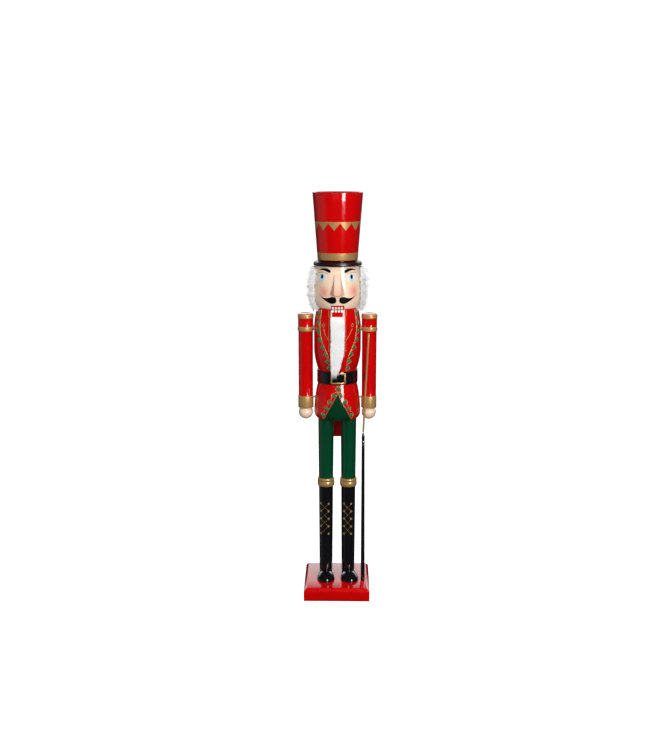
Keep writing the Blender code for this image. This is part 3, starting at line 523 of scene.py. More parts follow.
BLACK_GLOSS = Paint("black_gloss").lacquer(BLACK, gloss=0.07)
for side, centre in leg_centres.items():
    egg = {"segments": 64, "ring_count": 40, "radius": MM}
    shoe = begin(f"gloss_shoe_{side}", bpy.ops.mesh.primitive_uv_sphere_add, **egg)
    shoe.scale = (SHOE_WIDTH / 2, SHOE_TOE, SHOE_HEIGHT)
    apply_place(shoe)
    edit()
    pick(shoe, "verts", lambda corner: corner.y > 0.01)
    stretch = (1, SHOE_HEEL / SHOE_TOE, 1)
    bpy.ops.transform.resize(value=stretch, center_override=(0, 0, 0))
    bpy.ops.mesh.select_all(action="SELECT")
    sole = (0, 0, 0.0001 * MM)
    bpy.ops.mesh.bisect(plane_co=sole, plane_no=(0, 0, 1), use_fill=True, clear_inner=True)
    bpy.ops.mesh.select_all(action="SELECT")
    back = (0, (SHOE_BALL - SHOE_CUT) * MM, 0)
    bpy.ops.mesh.bisect(plane_co=back, plane_no=(0, 1, 0), use_fill=True, clear_outer=True)
    leave()
    shoe.location = (0, -SHOE_BALL * MM, 0)
    apply_place(shoe)
    shoe.rotation_euler.z = radians(SHOE_TURN[side])
    shoe.location = (centre[0] * MM, 0, leg_foot * MM)
    apply_place(shoe)
    bore, foot, top = LEG_FOOT + 0.4, leg_foot - OVERCUT, leg_foot + 20
    ankle = [(0, foot), (bore, foot), (bore, top), (0, top)]
    cut(shoe, turned("ankle", ankle, centre, 64))
    ease(shoe, 0.3, 2, 45)
    dress(shoe, BLACK_GLOSS, "black_lacquer", f"shoe_{side}")

# Torso
# One piece of turned beech: skirt, waist and chest, slotted from the neck down for the jaw lever and
# bored for every dowel. It is red gloss, with the dark green of the trousers where the coat opens.

SKIRT_RADIUS = 34.2
SKIRT_FOOT_RADIUS = 28.0
SKIRT_ROUND = 10.0
SKIRT_HEIGHT = 53.5
WAIST_HEIGHT = 20.5
WAIST_RADIUS = 28.6
CHEST_RADIUS = 34.4
CHEST_SWELL = 32.0
CHEST_STRAIGHT = 25.0
NECK_RADIUS = 29.6
SLOT_WIDTH = 20.4
SLOT_DEPTH = 67.7
OPENING_APEX_DROP = 11.7
OPENING_HALF_ANGLE = 33.0
OPENING_FOOT = 4.8

torso_foot = span("torso")[0].z
neck = span("torso")[1].z
waist = torso_foot + SKIRT_HEIGHT
chest = waist + WAIST_HEIGHT


def swell(low, high, share, power):
    """A turner's curve that leaves low steeply and arrives level at high."""
    return low + (high - low) * sin(max(0.0, min(1.0, share)) * pi / 2) ** power


def torso_radius(z):
    if z < torso_foot + SKIRT_ROUND:
        share = 1 - (z - torso_foot) / SKIRT_ROUND
        rounding = sqrt(max(0.0, 1 - share**2))
        return SKIRT_FOOT_RADIUS + (SKIRT_RADIUS - SKIRT_FOOT_RADIUS) * rounding
    if z < waist:
        return swell(WAIST_RADIUS, SKIRT_RADIUS, (waist - z) / (SKIRT_HEIGHT - SKIRT_ROUND), 0.85)
    if z < chest:
        return WAIST_RADIUS
    if z < chest + CHEST_SWELL + CHEST_STRAIGHT:
        return swell(WAIST_RADIUS, CHEST_RADIUS, (z - chest) / CHEST_SWELL, 0.85)
    share = (z - chest - CHEST_SWELL - CHEST_STRAIGHT) / (neck - chest - CHEST_SWELL - CHEST_STRAIGHT)
    return NECK_RADIUS + (CHEST_RADIUS - NECK_RADIUS) * max(0.0, cos(share * pi / 2)) ** 0.75


heights = [torso_foot + SKIRT_ROUND * (1 - cos(radians(9 * i))) for i in range(11)]
heights += [torso_foot + SKIRT_ROUND + (SKIRT_HEIGHT - SKIRT_ROUND) * i / 18 for i in range(1, 19)]
heights += [chest + CHEST_SWELL * i / 14 for i in range(15)]
shoulder = chest + CHEST_SWELL + CHEST_STRAIGHT
heights += [shoulder + (neck - shoulder) * sin(radians(7.5 * i)) for i in range(13)]
coat = turned("coat", solid(torso_radius, heights, torso_foot, neck))
half = SLOT_WIDTH / 2
cut(coat, block("slot", (-half, -60, neck - SLOT_DEPTH), (half, 60, neck + 10)))
drill(coat, "pivot_pin", "leg_dowel_left", "leg_dowel_right", "neck_dowel_left", "neck_dowel_right")
drill(coat, "shoulder_dowel_left", "shoulder_dowel_right", "wrist_peg_left", "wrist_peg_right")

paint = Paint("coat_paint")
opening_top = waist - OPENING_APEX_DROP
slope = OPENING_HALF_ANGLE / (opening_top - torso_foot - OPENING_FOOT)
spread = (opening_top - paint.z) * slope
opening = (abs(paint.angle - 1.0) - spread).below(0, 0.4) & paint.z.below(opening_top)
dress(coat, paint.lacquer(opening.mixed(RED, (0.0008, 0.034, 0.011))), "red_lacquer", "torso")

# Gilt trim
# Raised lines of gold relief paint squeezed from a fine nozzle onto the coat: a frame for each stone,
# the edges of the lapels, two lines beside the slot, and a small flower on each breast.

TRIM_RADIUS = 0.52
FINE_RADIUS = 0.4
FLOWER_RADIUS = 0.27
FLOWER_REACH = 3.2


def on_coat(angle, z, proud=0.0):
    """A point on the coat, at an angle from its front and a height."""
    turn = radians(angle)
    return Vector((sin(turn), -cos(turn), 0)) * (torso_radius(z) + proud) + Vector((0, 0, z))


def laid(points, proud=0.12, step=1.6):
    """A line of (angle, height) points laid on the coat, with more between them to follow its curve."""
    line = [on_coat(*points[0], proud)]
    for (first_angle, first_z), (angle, z) in zip(points, points[1:]):
        reach = (on_coat(angle, z) - on_coat(first_angle, first_z)).length
        count = max(1, ceil(reach / step))
        for i in range(1, count + 1):
            share = i / count
            turn = first_angle + (angle - first_angle) * share
            line.append(on_coat(turn, first_z + (z - first_z) * share, proud))
    return line


def bead(name, radius, lines, sides=1):
    """Round beads of paint along lines: wires made curves, given thickness, and made a mesh again."""
    piece = outline(name, *lines)
    edit("SELECT")
    bpy.ops.mesh.remove_doubles(threshold=1e-5)
    leave()
    bpy.ops.object.convert(target="CURVE")
    piece = bpy.context.object
    piece.data.bevel_depth = radius * MM
    piece.data.bevel_resolution = sides
    piece.data.use_fill_caps = True
    bpy.ops.object.convert(target="MESH")
    piece = bpy.context.object
    edit("SELECT")
    bpy.ops.mesh.normals_make_consistent(inside=False)
    leave()
    return apply_place(piece)


# (angle, height) of each stone on the coat, in the order of their numbers.
places = []
for name in sorted(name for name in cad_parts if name.startswith("gem_")):
    low, high = span(name)
    middle = (low + high) / 2
    places.append((degrees(atan2(middle.x, -middle.y)), middle.z))
right_lapel, left_lapel = places[:8], places[8:16]
apex = places[16]
right_skirt, left_skirt = places[17:21], places[21:25]
lines = []
for sign, lapel in ((-1, right_lapel), (1, left_lapel)):
    edge = [(lapel[0][0] - sign * 5, neck - 0.6)]
    zigzag = [(lapel[0][0] - sign * 5, neck - 0.6)]
    for i, (angle, z) in enumerate(lapel):
        after = lapel[min(i + 1, len(lapel) - 1)]
        edge.append((angle - sign * 5.6, z))
        zigzag.append((angle + sign * 8.0, z - 0.8))
        if i < len(lapel) - 1:
            zigzag.append(((angle + after[0]) / 2 - sign * 4.4, (z + after[1]) / 2))
    edge.append((lapel[-1][0] - sign * 5, chest + 0.8))
    zigzag.append((lapel[-1][0] - sign * 5, chest + 0.8))
    lines += [laid(edge), laid(zigzag)]
angle, z = apex
diamond = [(angle, z + 4.8), (angle + 9, z), (angle, z - 4.8), (angle - 9, z), (angle, z + 4.8)]
lines.append(laid(diamond))
for sign, line in ((-1, right_skirt), (1, left_skirt)):
    edge, zigzag = [(angle, z - 4.8)], [(angle, z - 4.8)]
    before = (angle, z - 2.0)
    for stone_angle, stone_z in line:
        notch = ((before[0] + stone_angle) / 2 + sign * 1.5, (before[1] + stone_z) / 2 + 1.0)
        zigzag += [notch, (stone_angle + sign * 7.6, stone_z + 2.0)]
        edge.append((stone_angle - sign * 2.6, stone_z - 4.2))
        before = (stone_angle, stone_z)
    corner = (before[0] + sign * 1.5, torso_foot + 3.6)
    lines += [laid(edge + [corner]), laid(zigzag + [corner])]
trim = bead("gilt_trim", TRIM_RADIUS, lines)
dress(trim, GILT, "gold_paint", smooth=80)

lines, flowers = [], []
for sign in (-1, 1):
    slot_edge = degrees(asin((SLOT_WIDTH / 2 + 1.9) / CHEST_RADIUS)) * sign
    neck_edge = degrees(asin((SLOT_WIDTH / 2 + 2.2) / NECK_RADIUS)) * sign
    flower_angle, flower_z = 38 * sign + 1.5, neck - 23
    lines.append(laid([(neck_edge, neck - 0.6), (slot_edge, neck - 12), (slot_edge, neck - 61)]))
    sweep = [(flower_angle, flower_z - 3.5), (31 * sign, neck - 36), (slot_edge, neck - 45)]
    lines.append(laid(sweep))
    petals = []
    for i in range(41):
        turn = tau * i / 40
        reach = FLOWER_REACH * (0.66 + 0.34 * cos(5 * turn))
        petals.append((flower_angle + 1.7 * reach * sin(turn), flower_z + reach * cos(turn)))
    flowers.append(laid(petals, 0.05))
dress(bead("fine_gilt_lines", FINE_RADIUS, lines), GILT, "gold_paint", smooth=80)
dress(bead("gilt_flowers", FLOWER_RADIUS, flowers), GILT, "gold_paint", smooth=80)

# Stones
# Green glass flat-back stones with ten facets and a flat table, glued on inside the gilt frames.
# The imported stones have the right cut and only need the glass.

glass = Paint("green_glass_stone")
facing = glass.place.node("LayerWeight", {}, {"Blend": 0.35}, output="Facing")
flaws = glass.place.noise(900, 2)
GLASS = glass.finish(
    (facing * 0.7 + flaws * 0.3).mixed((0.0, 0.30, 0.13), (0.0, 0.045, 0.018)),
    flaws.blended(0.02, 0.07),
    0.15,
    Coat_Weight=1.0,
    Coat_Roughness=0.02,
)
coat_nodes(GLASS, *(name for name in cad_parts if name.startswith("gem_")))

# Belt and buckle
# A thin black gloss band let round the waist, with an open rectangular buckle frame of gilt plate
# bent to the belt's curve and glued on its front.

BELT_THICKNESS = 1.1
BUCKLE_MARGIN = 1.55
BUCKLE_WIDTH = 22.0
BUCKLE_LINE = 2.0
BUCKLE_TURN = 3.0
# How far the buckle's back and front stand off the belt.
BUCKLE_BACK = 0.3
BUCKLE_FRONT = 1.3

low, high = span("belt")
outer = high.x
inner = outer - BELT_THICKNESS
waist_belt = ease(ring("waist_belt", inner, outer, low.z, high.z), 0.35)
dress(waist_belt, BLACK_GLOSS, "black_lacquer", "belt")

bottom, top = low.z + BUCKLE_MARGIN, high.z - BUCKLE_MARGIN
plate = ring("buckle_frame", outer + BUCKLE_BACK, outer + BUCKLE_FRONT, low.z, high.z, steps=128)
half = BUCKLE_WIDTH / 2
cut(plate, block("frame", (-half, -60, bottom), (half, -15, top)), "INTERSECT")
half -= BUCKLE_LINE
cut(plate, block("window", (-half, -60, bottom + BUCKLE_LINE), (half, -10, top - BUCKLE_LINE)))
ease(plate, 0.25, 2, 50)
plate.rotation_euler.z = radians(BUCKLE_TURN)
dress(apply_place(plate), GILT, "gold_paint", "buckle", smooth=30)

# Jaw lever
# Sawn from one board, it carries the lower jaw in front and the handle behind. It is red gloss, with
# the jaw's face painted white, a red lip and the lower ends of the four teeth.

LIP_HALF = 7.8
LIP_DEPTH = 9.6
TOOTH_PITCH = 4.3
TOOTH_WIDTH = 1.5
TOOTH_FOOT = 3.0
TOOTH_HEIGHT = 7.6
JAW_DEPTH = 11.5
JAW_FACE_HEIGHT = 20
IVORY = (0.90, 0.90, 0.86)

jaw_low, jaw_high = span("jaw_lever")


def teeth(paint):
    """Four tall oval teeth side by side, painted over the gap between the jaw and the head."""
    across = abs(abs(paint.x) - TOOTH_PITCH)
    across = abs(across - TOOTH_PITCH / 2) / TOOTH_WIDTH
    middle = jaw_high.z - TOOTH_FOOT + TOOTH_HEIGHT / 2
    up = (paint.z - middle) / (TOOTH_HEIGHT / 2)
    oval = (across**4 + up**4) ** 0.25
    return oval.below(1.0, 0.25) & abs(paint.x).below(2 * TOOTH_PITCH)


paint = Paint("lever_paint")
jaw_face = paint.y.below(jaw_low.y + 2.5) & paint.z.above(jaw_high.z - JAW_FACE_HEIGHT)
lip = jaw_face & abs(paint.x).below(LIP_HALF) & paint.z.above(jaw_high.z - LIP_DEPTH)
tooth = teeth(paint) & paint.y.below(jaw_low.y + JAW_DEPTH)
colour = tooth.mixed(lip.mixed(jaw_face.mixed(RED, (0.74, 0.72, 0.68)), RED), IVORY)
coat_nodes(paint.lacquer(colour), "jaw_lever")

# Head
# A turned barrel in flesh-coloured gloss. The eyes, brows, moustache and upper lip are brushed on,
# and the cheeks are sprayed with a soft blush.

SKIN = (0.90, 0.67, 0.49)
HEAD_RADIUS = 34.2
HEAD_CHIN_RADIUS = 28.5
HEAD_TOP_RADIUS = 31.0
HEAD_WIDEST = 20.0
# Millimetres across the face for each degree round from its middle.
ARC = 0.58
EYES = (-24.6, 22.3)
EYE_HEIGHT = 46.3

chin, crown_of_head = span("head")[0].z, span("head")[1].z


def head_radius(z):
    if z < chin + HEAD_WIDEST:
        return swell(HEAD_CHIN_RADIUS, HEAD_RADIUS, (z - chin) / HEAD_WIDEST, 0.5)
    share = (z - chin - HEAD_WIDEST) / (crown_of_head - chin - HEAD_WIDEST)
    return HEAD_TOP_RADIUS + (HEAD_RADIUS - HEAD_TOP_RADIUS) * max(0.0, cos(share * pi / 2))


def curve_between(across, up, reach, base, rise, low_points, high_points):
    """1 between two drawn curves of (across, up) points, up to reach across and rise above base."""
    edges = []
    for points in (low_points, high_points):
        scaled = [(u / reach, (v - base) / rise) for u, v in points]
        scaled = [(0.0, scaled[0][1])] + scaled + [(1.0, scaled[-1][1])]
        share = across / reach
        edges.append(across.node("FloatCurve", {"curve": scaled}, {"Value": share}) * rise + base)
    inside = (edges[0] - up).below(0, 0.25) & (up - edges[1]).below(0, 0.25)
    return inside & across.between(low_points[0][0], low_points[-1][0], 0.2)


def spot(across, up, centre, radii, soft):
    """1 in an oval patch, fading over soft parts of its radius."""
    span_u, span_v = (across - centre[0]) / radii[0], (up - centre[1]) / radii[1]
    return ((span_u**2 + span_v**2) ** 0.5).below(1.0, soft)


heights = [chin + HEAD_WIDEST * (1 - cos(radians(6 * i))) for i in range(16)]
heights += [chin + HEAD_WIDEST + (crown_of_head - chin - HEAD_WIDEST) * i / 12 for i in range(1, 13)]
profile = solid(head_radius, heights, chin, crown_of_head)
head = ease(turned("face_and_head", profile, steps=128), 0.6, 3, 50)
drill(head, "neck_dowel_left", "neck_dowel_right", "hat_dowel")

paint = Paint("face_paint")
up = paint.z - chin
side_mm = paint.angle * ARC
mirror = abs(side_mm)
facing_front = paint.y.below(0)
blush = spot(side_mm, up, (-20.0, 25.0), (6.5, 6.5), 1.5)
blush = blush | spot(side_mm, up, (25.5, 26.3), (6.5, 7.0), 1.5)
colour = (blush * 0.72).mixed(SKIN, (0.83, 0.20, 0.16))
for centre in EYES:
    white = spot(side_mm, up, (centre, EYE_HEIGHT), (9.2, 6.2), 0.55) & up.below(51.6, 1.2)
    iris = spot(side_mm, up, (centre - 0.3, 45.5), (4.4, 5.3), 0.4)
    pupil = spot(side_mm, up, (centre, 46.9), (2.4, 3.2), 0.15)
    lid_arch = 52.7 - abs(side_mm - centre) ** 2 * 0.008
    lid = abs(up - lid_arch).below(0.34, 0.5) & abs(side_mm - centre).below(9.6, 1.5)
    lash = abs(up - lid_arch + 2.3).below(0.2, 0.5) & abs(side_mm - centre).below(8.0, 3)
    blue = up.between(42, 50, 5).mixed((0.25, 0.55, 0.76), (0.55, 0.76, 0.80))
    brown, black = (0.22, 0.14, 0.11), (0.004, 0.004, 0.005)
    layers = [(white * 0.75, (0.74, 0.80, 0.83)), (iris, blue), (lash * 0.35, brown)]
    for mask, layer in layers + [(lid * 0.75, brown), (pupil, black)]:
        colour = mask.mixed(colour, layer)
# The brows' and the moustache's lower and upper edges, in mm across the face and up from the chin.
brow_low = [(10.2, 54.2), (11.0, 52.9), (13.5, 53.1), (17, 54.4), (21, 55.7), (26, 56.3), (32.6, 55.8)]
brow_high = [(10.2, 54.9), (11.0, 56.5), (13.5, 57.8), (17, 58.8), (21, 59.2), (26, 58.7), (32.6, 56.3)]
brows = curve_between(mirror, up, 34, 52, 10, brow_low, brow_high)
lip_low = [(1.6, 13.2), (2.4, 11.2), (3.8, 9.8), (6, 8.8), (8.3, 8.4), (10.5, 8.7), (13.1, 9.7)]
lip_low += [(16, 11.1), (19.1, 12.9), (23.6, 15.9), (29.8, 20.7)]
lip_high = [(1.6, 13.6), (2.4, 16.4), (3.8, 17.8), (6, 18.6), (8.3, 18.7), (10.5, 18.2), (13.1, 17.2)]
lip_high += [(16, 16.6), (19.1, 16.7), (23.6, 17.7), (29.8, 21.0)]
moustache = curve_between(abs(side_mm - 0.6), up, 31, 6, 17, lip_low, lip_high)
mouth = abs(paint.x - 0.4).below(9.7) & up.below(6.0)
colour = mouth.mixed(colour, RED)
colour = teeth(paint).mixed(colour, IVORY)
colour = (brows | moustache).mixed(colour, (0.003, 0.003, 0.004))
FACE_PAINT = paint.lacquer(facing_front.mixed(SKIN, colour), gloss=0.17, coat=0.09)
dress(head, FACE_PAINT, "skin_lacquer", "head")

# Nose
# A beech wedge that widens and stands proud downwards, its edges sanded soft, glued on the face and
# sprayed with it. The blush is carried over its lower half, and painted shade darkens its skin and
# turns its left flank brown.

NOSE_PROUD = 12.0
NOSE_TOP_PROUD = 1.2
NOSE_RIDGE = 4.6
NOSE_FOOT = 14.5

low, high = span("nose")
nose = block("painted_nose", (-1, -1, low.z), (1, 1, high.z))
edit()
tip = head_radius(low.z) + NOSE_PROUD
brow = head_radius(high.z) + NOSE_TOP_PROUD
rear = head_radius(low.z) - 9
corners = {
    (True, True): (NOSE_RIDGE, -brow),
    (True, False): (NOSE_RIDGE, -tip),
    (False, True): (NOSE_RIDGE + 1.5, -rear),
    (False, False): (NOSE_FOOT, -rear),
}
for (front, upper), (half, y) in corners.items():
    for sign in (-1, 1):
        start = Vector((sign, -1 if front else 1, high.z if upper else low.z))
        pick(nose, "verts", lambda corner: (corner - start).length < 0.5)
        move = ((sign * half - sign) * MM, (y - (-1 if front else 1)) * MM, 0)
        bpy.ops.transform.translate(value=move)
leave()
ease(nose, 0.9, 4, 20)
cut(nose, turned("head_room", solid(head_radius, heights, chin, crown_of_head, less=0.05)))
paint = Paint("nose_paint")
up = paint.z - low.z
rosy = up.below(9, 15) & abs(paint.x).below(7, 5) & paint.y.below(-head_radius(low.z) - 1, 2)
# Painted shade: the nose's skin is painted darker than the face's, and its left flank brown.
shaded_flank = (paint.x + NOSE_RIDGE).below(-0.2, 0.6)
shaded_skin = shaded_flank.mixed(tuple(0.86 * part for part in SKIN), (0.62, 0.40, 0.27))
colour = (rosy * 0.62).mixed(shaded_skin, (0.84, 0.26, 0.20))
dress(nose, paint.lacquer(colour, gloss=0.17, coat=0.09), "skin_lacquer", "nose", smooth=50)

# Hat
# A turned brim in black gloss under a tall red crown that widens upwards and is hollowed at the top.
# The crown has a gilt band at its foot and a gilt line with hanging points two thirds of the way up.

CROWN_FOOT_RADIUS = 29.0
CROWN_TOP_RADIUS = 36.5
CROWN_WALL = 2.6
CROWN_RECESS = 8.0
BAND_LOW = 3.0
BAND_HIGH = 12.9
LINE_LOW = 55.4
LINE_HIGH = 57.4
POINT_DEPTH = 10.2
POINTS = 12
POINT_TURN = -8.6

brim_low, brim_high = span("hat_brim")
top_radius = brim_high.x - 0.7
profile = [(0, brim_low.z), (brim_high.x, brim_low.z), (brim_high.x, brim_low.z + 1.6)]
profile += [(top_radius, brim_high.z), (0, brim_high.z)]
brim = ease(turned("gloss_brim", profile), 0.3, 3)
drill(brim, "hat_dowel")
paint = Paint("brim_paint")
# Painted reflection: a dark maroon patch across the front of the black brim.
painted_reflection = paint.angle.between(-30, 55, 40) & paint.z.above(brim_low.z + 2.2, 1.5)
BRIM_PAINT = paint.lacquer((painted_reflection * 0.8).mixed(BLACK, (0.030, 0.002, 0.003)), None, 0.3, 0.3)
dress(brim, BRIM_PAINT, "black_lacquer", "hat_brim")

crown_low, crown_high = span("hat_crown")
floor = crown_high.z - CROWN_RECESS
slant = (CROWN_TOP_RADIUS - CROWN_FOOT_RADIUS) / (crown_high.z - crown_low.z)
rim = CROWN_TOP_RADIUS - CROWN_WALL
rises = [crown_low.z + (crown_high.z - crown_low.z) * i / 8 for i in range(9)]
profile = [(0, crown_low.z)]
profile += [(CROWN_FOOT_RADIUS + slant * (z - crown_low.z), z) for z in rises]
profile += [(rim, crown_high.z), (rim - slant * CROWN_RECESS, floor), (0, floor)]
crown = ease(turned("tall_crown", profile, steps=128), 0.6)
drill(crown, "hat_dowel")
paint = Paint("crown_paint")
up = paint.z - crown_low.z
pitch = 360 / POINTS
across = paint.angle.math("FLOORED_MODULO", paint.angle - POINT_TURN + pitch / 2, pitch) - pitch / 2
hang = (LINE_LOW + 0.2 - up) / POINT_DEPTH
point = (abs(across) / (pitch / 2) - (1 - hang)).below(0, 0.03) & hang.above(0, 0.02)
outside = ((paint.x**2 + paint.y**2) ** 0.5 - up * slant).above(CROWN_FOOT_RADIUS - 1.2)
gilding = (up.between(BAND_LOW, BAND_HIGH) | up.between(LINE_LOW, LINE_HIGH) | point) & outside
# Painted shade: the inside of the hollow top is painted dark maroon.
colour = outside.mixed((0.20, 0.002, 0.003), RED)
# Painted shadow: a near-black strip at the crown's foot, where it meets the brim.
colour = up.below(BAND_LOW - 0.4).mixed(colour, (0.03, 0.003, 0.003))
dress(crown, paint.lacquer(colour, gilding), "red_lacquer", "hat_crown")

# Arms
# Turned in one piece from epaulette to fist and hung on a dowel at the shoulder and a peg at the wrist.
# The sleeve is red gloss, the epaulette's two beads and the cuff are gilt, and the hand is flesh.

EPAULETTE_RADIUS = 11.8
EPAULETTE_LENGTH = 25.2
SLEEVE_RADIUS = 10.75
CUFF_RADIUS = 11.4
CUFF_LENGTH = 18.0
HAND_RADIUS = 10.7
WRIST_SHARE = 0.65

for side in ("left", "right"):
    low, high = span(f"arm_{side}")
    centre = axis_of(f"arm_{side}")
    top = high.z
    hand = low.z + HAND_RADIUS
    cuff = hand + HAND_RADIUS * WRIST_SHARE
    cuff_top = cuff + CUFF_LENGTH
    sleeve_top = top - EPAULETTE_LENGTH
    wrist = asin(WRIST_SHARE)
    turns = [-pi / 2 + (pi / 2 + wrist) * i / 14 for i in range(15)]
    profile = [(HAND_RADIUS * cos(turn), hand + HAND_RADIUS * sin(turn)) for turn in turns]
    profile[0] = (0, low.z)
    profile += [(CUFF_RADIUS, cuff + 0.1), (CUFF_RADIUS, cuff_top), (SLEEVE_RADIUS, cuff_top + 0.2)]
    profile += [(SLEEVE_RADIUS, cuff_top + (sleeve_top - cuff_top) * i / 4) for i in range(1, 4)]
    profile += [(SLEEVE_RADIUS, sleeve_top - 0.4), (EPAULETTE_RADIUS, sleeve_top)]
    profile += [(EPAULETTE_RADIUS, sleeve_top + 5.6), (EPAULETTE_RADIUS - 0.55, sleeve_top + 6.2)]
    profile += [(EPAULETTE_RADIUS - 0.55, top - 6.9), (EPAULETTE_RADIUS, top - 6.2)]
    profile += [(EPAULETTE_RADIUS, top - 4.4), (EPAULETTE_RADIUS - 0.35, top - 4.0)]
    profile += [(EPAULETTE_RADIUS, top - 3.6)]
    profile += [(EPAULETTE_RADIUS, top - 1.9), (EPAULETTE_RADIUS - 0.9, top), (0, top)]
    arm = ease(turned(f"sleeve_and_hand_{side}", profile, centre, 64), 0.3)
    drill(arm, f"shoulder_dowel_{side}", f"wrist_peg_{side}")
    paint = Paint(f"arm_paint_{side}", centre)
    gilding = paint.z.between(sleeve_top - 0.3, sleeve_top + 6.1)
    gilding = gilding | paint.z.between(top - 6.6, top - 0.5) | paint.z.between(cuff - 0.05, cuff_top + 0.1)
    colour = paint.z.below(cuff).mixed(RED, SKIN)
    dress(arm, paint.lacquer(colour, gilding), "red_lacquer", f"arm_{side}")

# Staff
# A gilt rod glued to the figure's left cuff, with a black bullet-shaped socket below it, a steel ring
# and a black sleeve that tapers up from the base.

STAFF_BULLET_LENGTH = 12.5
STAFF_ROD_RADIUS = 1.5
STAFF_RING_RADIUS = 2.5
STAFF_TOP_RADIUS = 2.3
STAFF_FOOT_RADIUS = 3.1


def aimed(piece, start, end):
    """Turns a piece made upright at the origin to stand at start and point at end."""
    start, end = Vector(start), Vector(end)
    piece.rotation_mode = "QUATERNION"
    piece.rotation_quaternion = (end - start).to_track_quat("Z", "Y")
    piece.location = start * MM
    return apply_place(piece)


def ends(node):
    """The middle of each end of a slim upright node, from the points near its foot and its top."""
    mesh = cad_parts[node].data
    points = [vertex.co / MM for vertex in mesh.vertices]
    low, high = min(point.z for point in points), max(point.z for point in points)
    found = []
    for limit in (lambda z: z < low + 1.5, lambda z: z > high - 1.5):
        near_end = [point for point in points if limit(point.z)]
        corners = [[end(point[i] for point in near_end) for i in range(3)] for end in (min, max)]
        found.append((Vector(corners[0]) + Vector(corners[1])) / 2)
    return found


def rod(name, node, radius_at, material, slot, rounding, length=None):
    """A slim turned rod along a CAD node, with its radius from the share of the way up."""
    start, end = ends(node)
    length = length or (end - start).length
    shares = [i / 12 for i in range(13)]
    profile = [(0, 0)] + [(radius_at(share), length * share) for share in shares] + [(0, length)]
    piece = ease(turned(name, profile, steps=32), rounding)
    return dress(aimed(piece, start, end), material, slot, node)


def ring_radius(share):
    return STAFF_RING_RADIUS - 0.25 + 0.25 * sin(share * pi)


def sleeve_radius(share):
    return STAFF_FOOT_RADIUS + (STAFF_TOP_RADIUS - STAFF_FOOT_RADIUS) * share


def bullet_radius(share):
    return STAFF_TOP_RADIUS * cos(max(0.0, share - 0.35) / 0.65 * radians(72)) ** 0.6


rod("gilt_rod", "staff_rod", lambda share: STAFF_ROD_RADIUS, GILT, "gold_paint", 0.35)
rod("steel_ring", "staff_ring", ring_radius, STEEL, "steel", 0.3)
rod("black_sleeve", "staff_sleeve", sleeve_radius, BLACK_GLOSS, "black_lacquer", 0.4)
bullet = ("bullet_socket", "staff_socket", bullet_radius, BLACK_GLOSS, "black_lacquer", 0.3)
rod(*bullet, length=STAFF_BULLET_LENGTH - 0.3)

# Hair
# A strip of long white fur on its backing, glued round the back and sides of the head under the brim.
# The pile is soft, stands out in loose locks and lies downwards; a few wisps stray.

HAIR_SEED = 11
HAIR_LOCKS = 1250
HAIR_STRANDS = 7
# Shares of the locks that crowd the face opening, and that stray as wisps.
EDGE_SHARE = 0.16
WISP_SHARE = 0.1
HAIR_HALF_OPENING = 64.0
PELT_HALF_OPENING = 72.0
PILE_RISE = 28.0
STRAND_RADIUS = 0.13

fur = Paint("white_fur")
tufts = fur.place.noise(220, 3)
fine = fur.place.stretched(1, 1, 0.3).noise(2400, 2)
GLOWING_WHITE_FUR = fur.finish(
    (tufts * 0.6 + fine * 0.4).mixed((0.80, 0.795, 0.79), (0.95, 0.95, 0.945)),
    fine.blended(0.55, 0.8),
    0.0,
    Sheen_Weight=0.4,
    Sheen_Roughness=0.5,
    # Painted light: the fur glows faintly, which lifts its shade.
    Emission_Color=(1.0, 1.0, 1.0, 1.0),
    Emission_Strength=0.045,
)


def strand(corners, faces, path, radius):
    """One hair: a three-sided tube along its path, drawn to a point."""
    first = len(corners)
    last = len(path) - 1
    for i, point in enumerate(path[:-1]):
        ahead = (path[i + 1] - point).normalized()
        side_way = ahead.orthogonal().normalized()
        other = ahead.cross(side_way)
        thick = radius * (1 - 0.75 * i / last)
        for turn in (0, tau / 3, 2 * tau / 3):
            corners.append(point + side_way * cos(turn) * thick + other * sin(turn) * thick)
    corners.append(path[-1])
    faces.append((first + 2, first + 1, first))
    for ring in range(last - 1):
        start = first + ring * 3
        for k in range(3):
            after = (k + 1) % 3
            faces.append((start + k, start + after, start + 3 + after, start + 3 + k))
    tip_ring = first + (last - 1) * 3
    for k in range(3):
        faces.append((tip_ring + k, tip_ring + (k + 1) % 3, len(corners) - 1))


def lock(corners, faces, chance, path, strands, spread, gather, radius):
    """A lock of hairs that start spread apart and gather towards its tip."""
    for _ in range(strands):
        offset = Vector([chance.gauss(0, spread) for _ in range(3)])
        stray = Vector([chance.gauss(0, 0.5) for _ in range(3)])
        reach = chance.uniform(0.7, 1.0)
        hair = []
        for i, point in enumerate(path):
            share = i / (len(path) - 1)
            hair.append(path[0].lerp(point, reach) + offset * (1 - gather * share) + stray * share)
        strand(corners, faces, hair, radius)


def fur_piece(name, corners, faces):
    """The hairs as one piece, in metres."""
    mesh = bpy.data.meshes.new(name)
    mesh.from_pydata([corner * MM for corner in corners], [], faces)
    piece = bpy.data.objects.new(name, mesh)
    bpy.context.scene.collection.objects.link(piece)
    return piece


hair_low, hair_high = span("hair")
backing_radius = HEAD_RADIUS + 1.2


def pelt_radius(z):
    """Radius of the thick of the pile at a height."""
    share = (hair_high.z - z) / (hair_high.z - hair_low.z)
    return backing_radius + 0.6 + 4.6 * max(0.0, sin((0.06 + 0.9 * share) * pi)) ** 1.3


def pile_share(angle):
    """0 at the edges of the face opening, 1 where the pile stands full, at an angle from the front."""
    away = min(abs(angle - HAIR_HALF_OPENING), abs(360 - HAIR_HALF_OPENING - angle))
    return min(1.0, away / PILE_RISE)


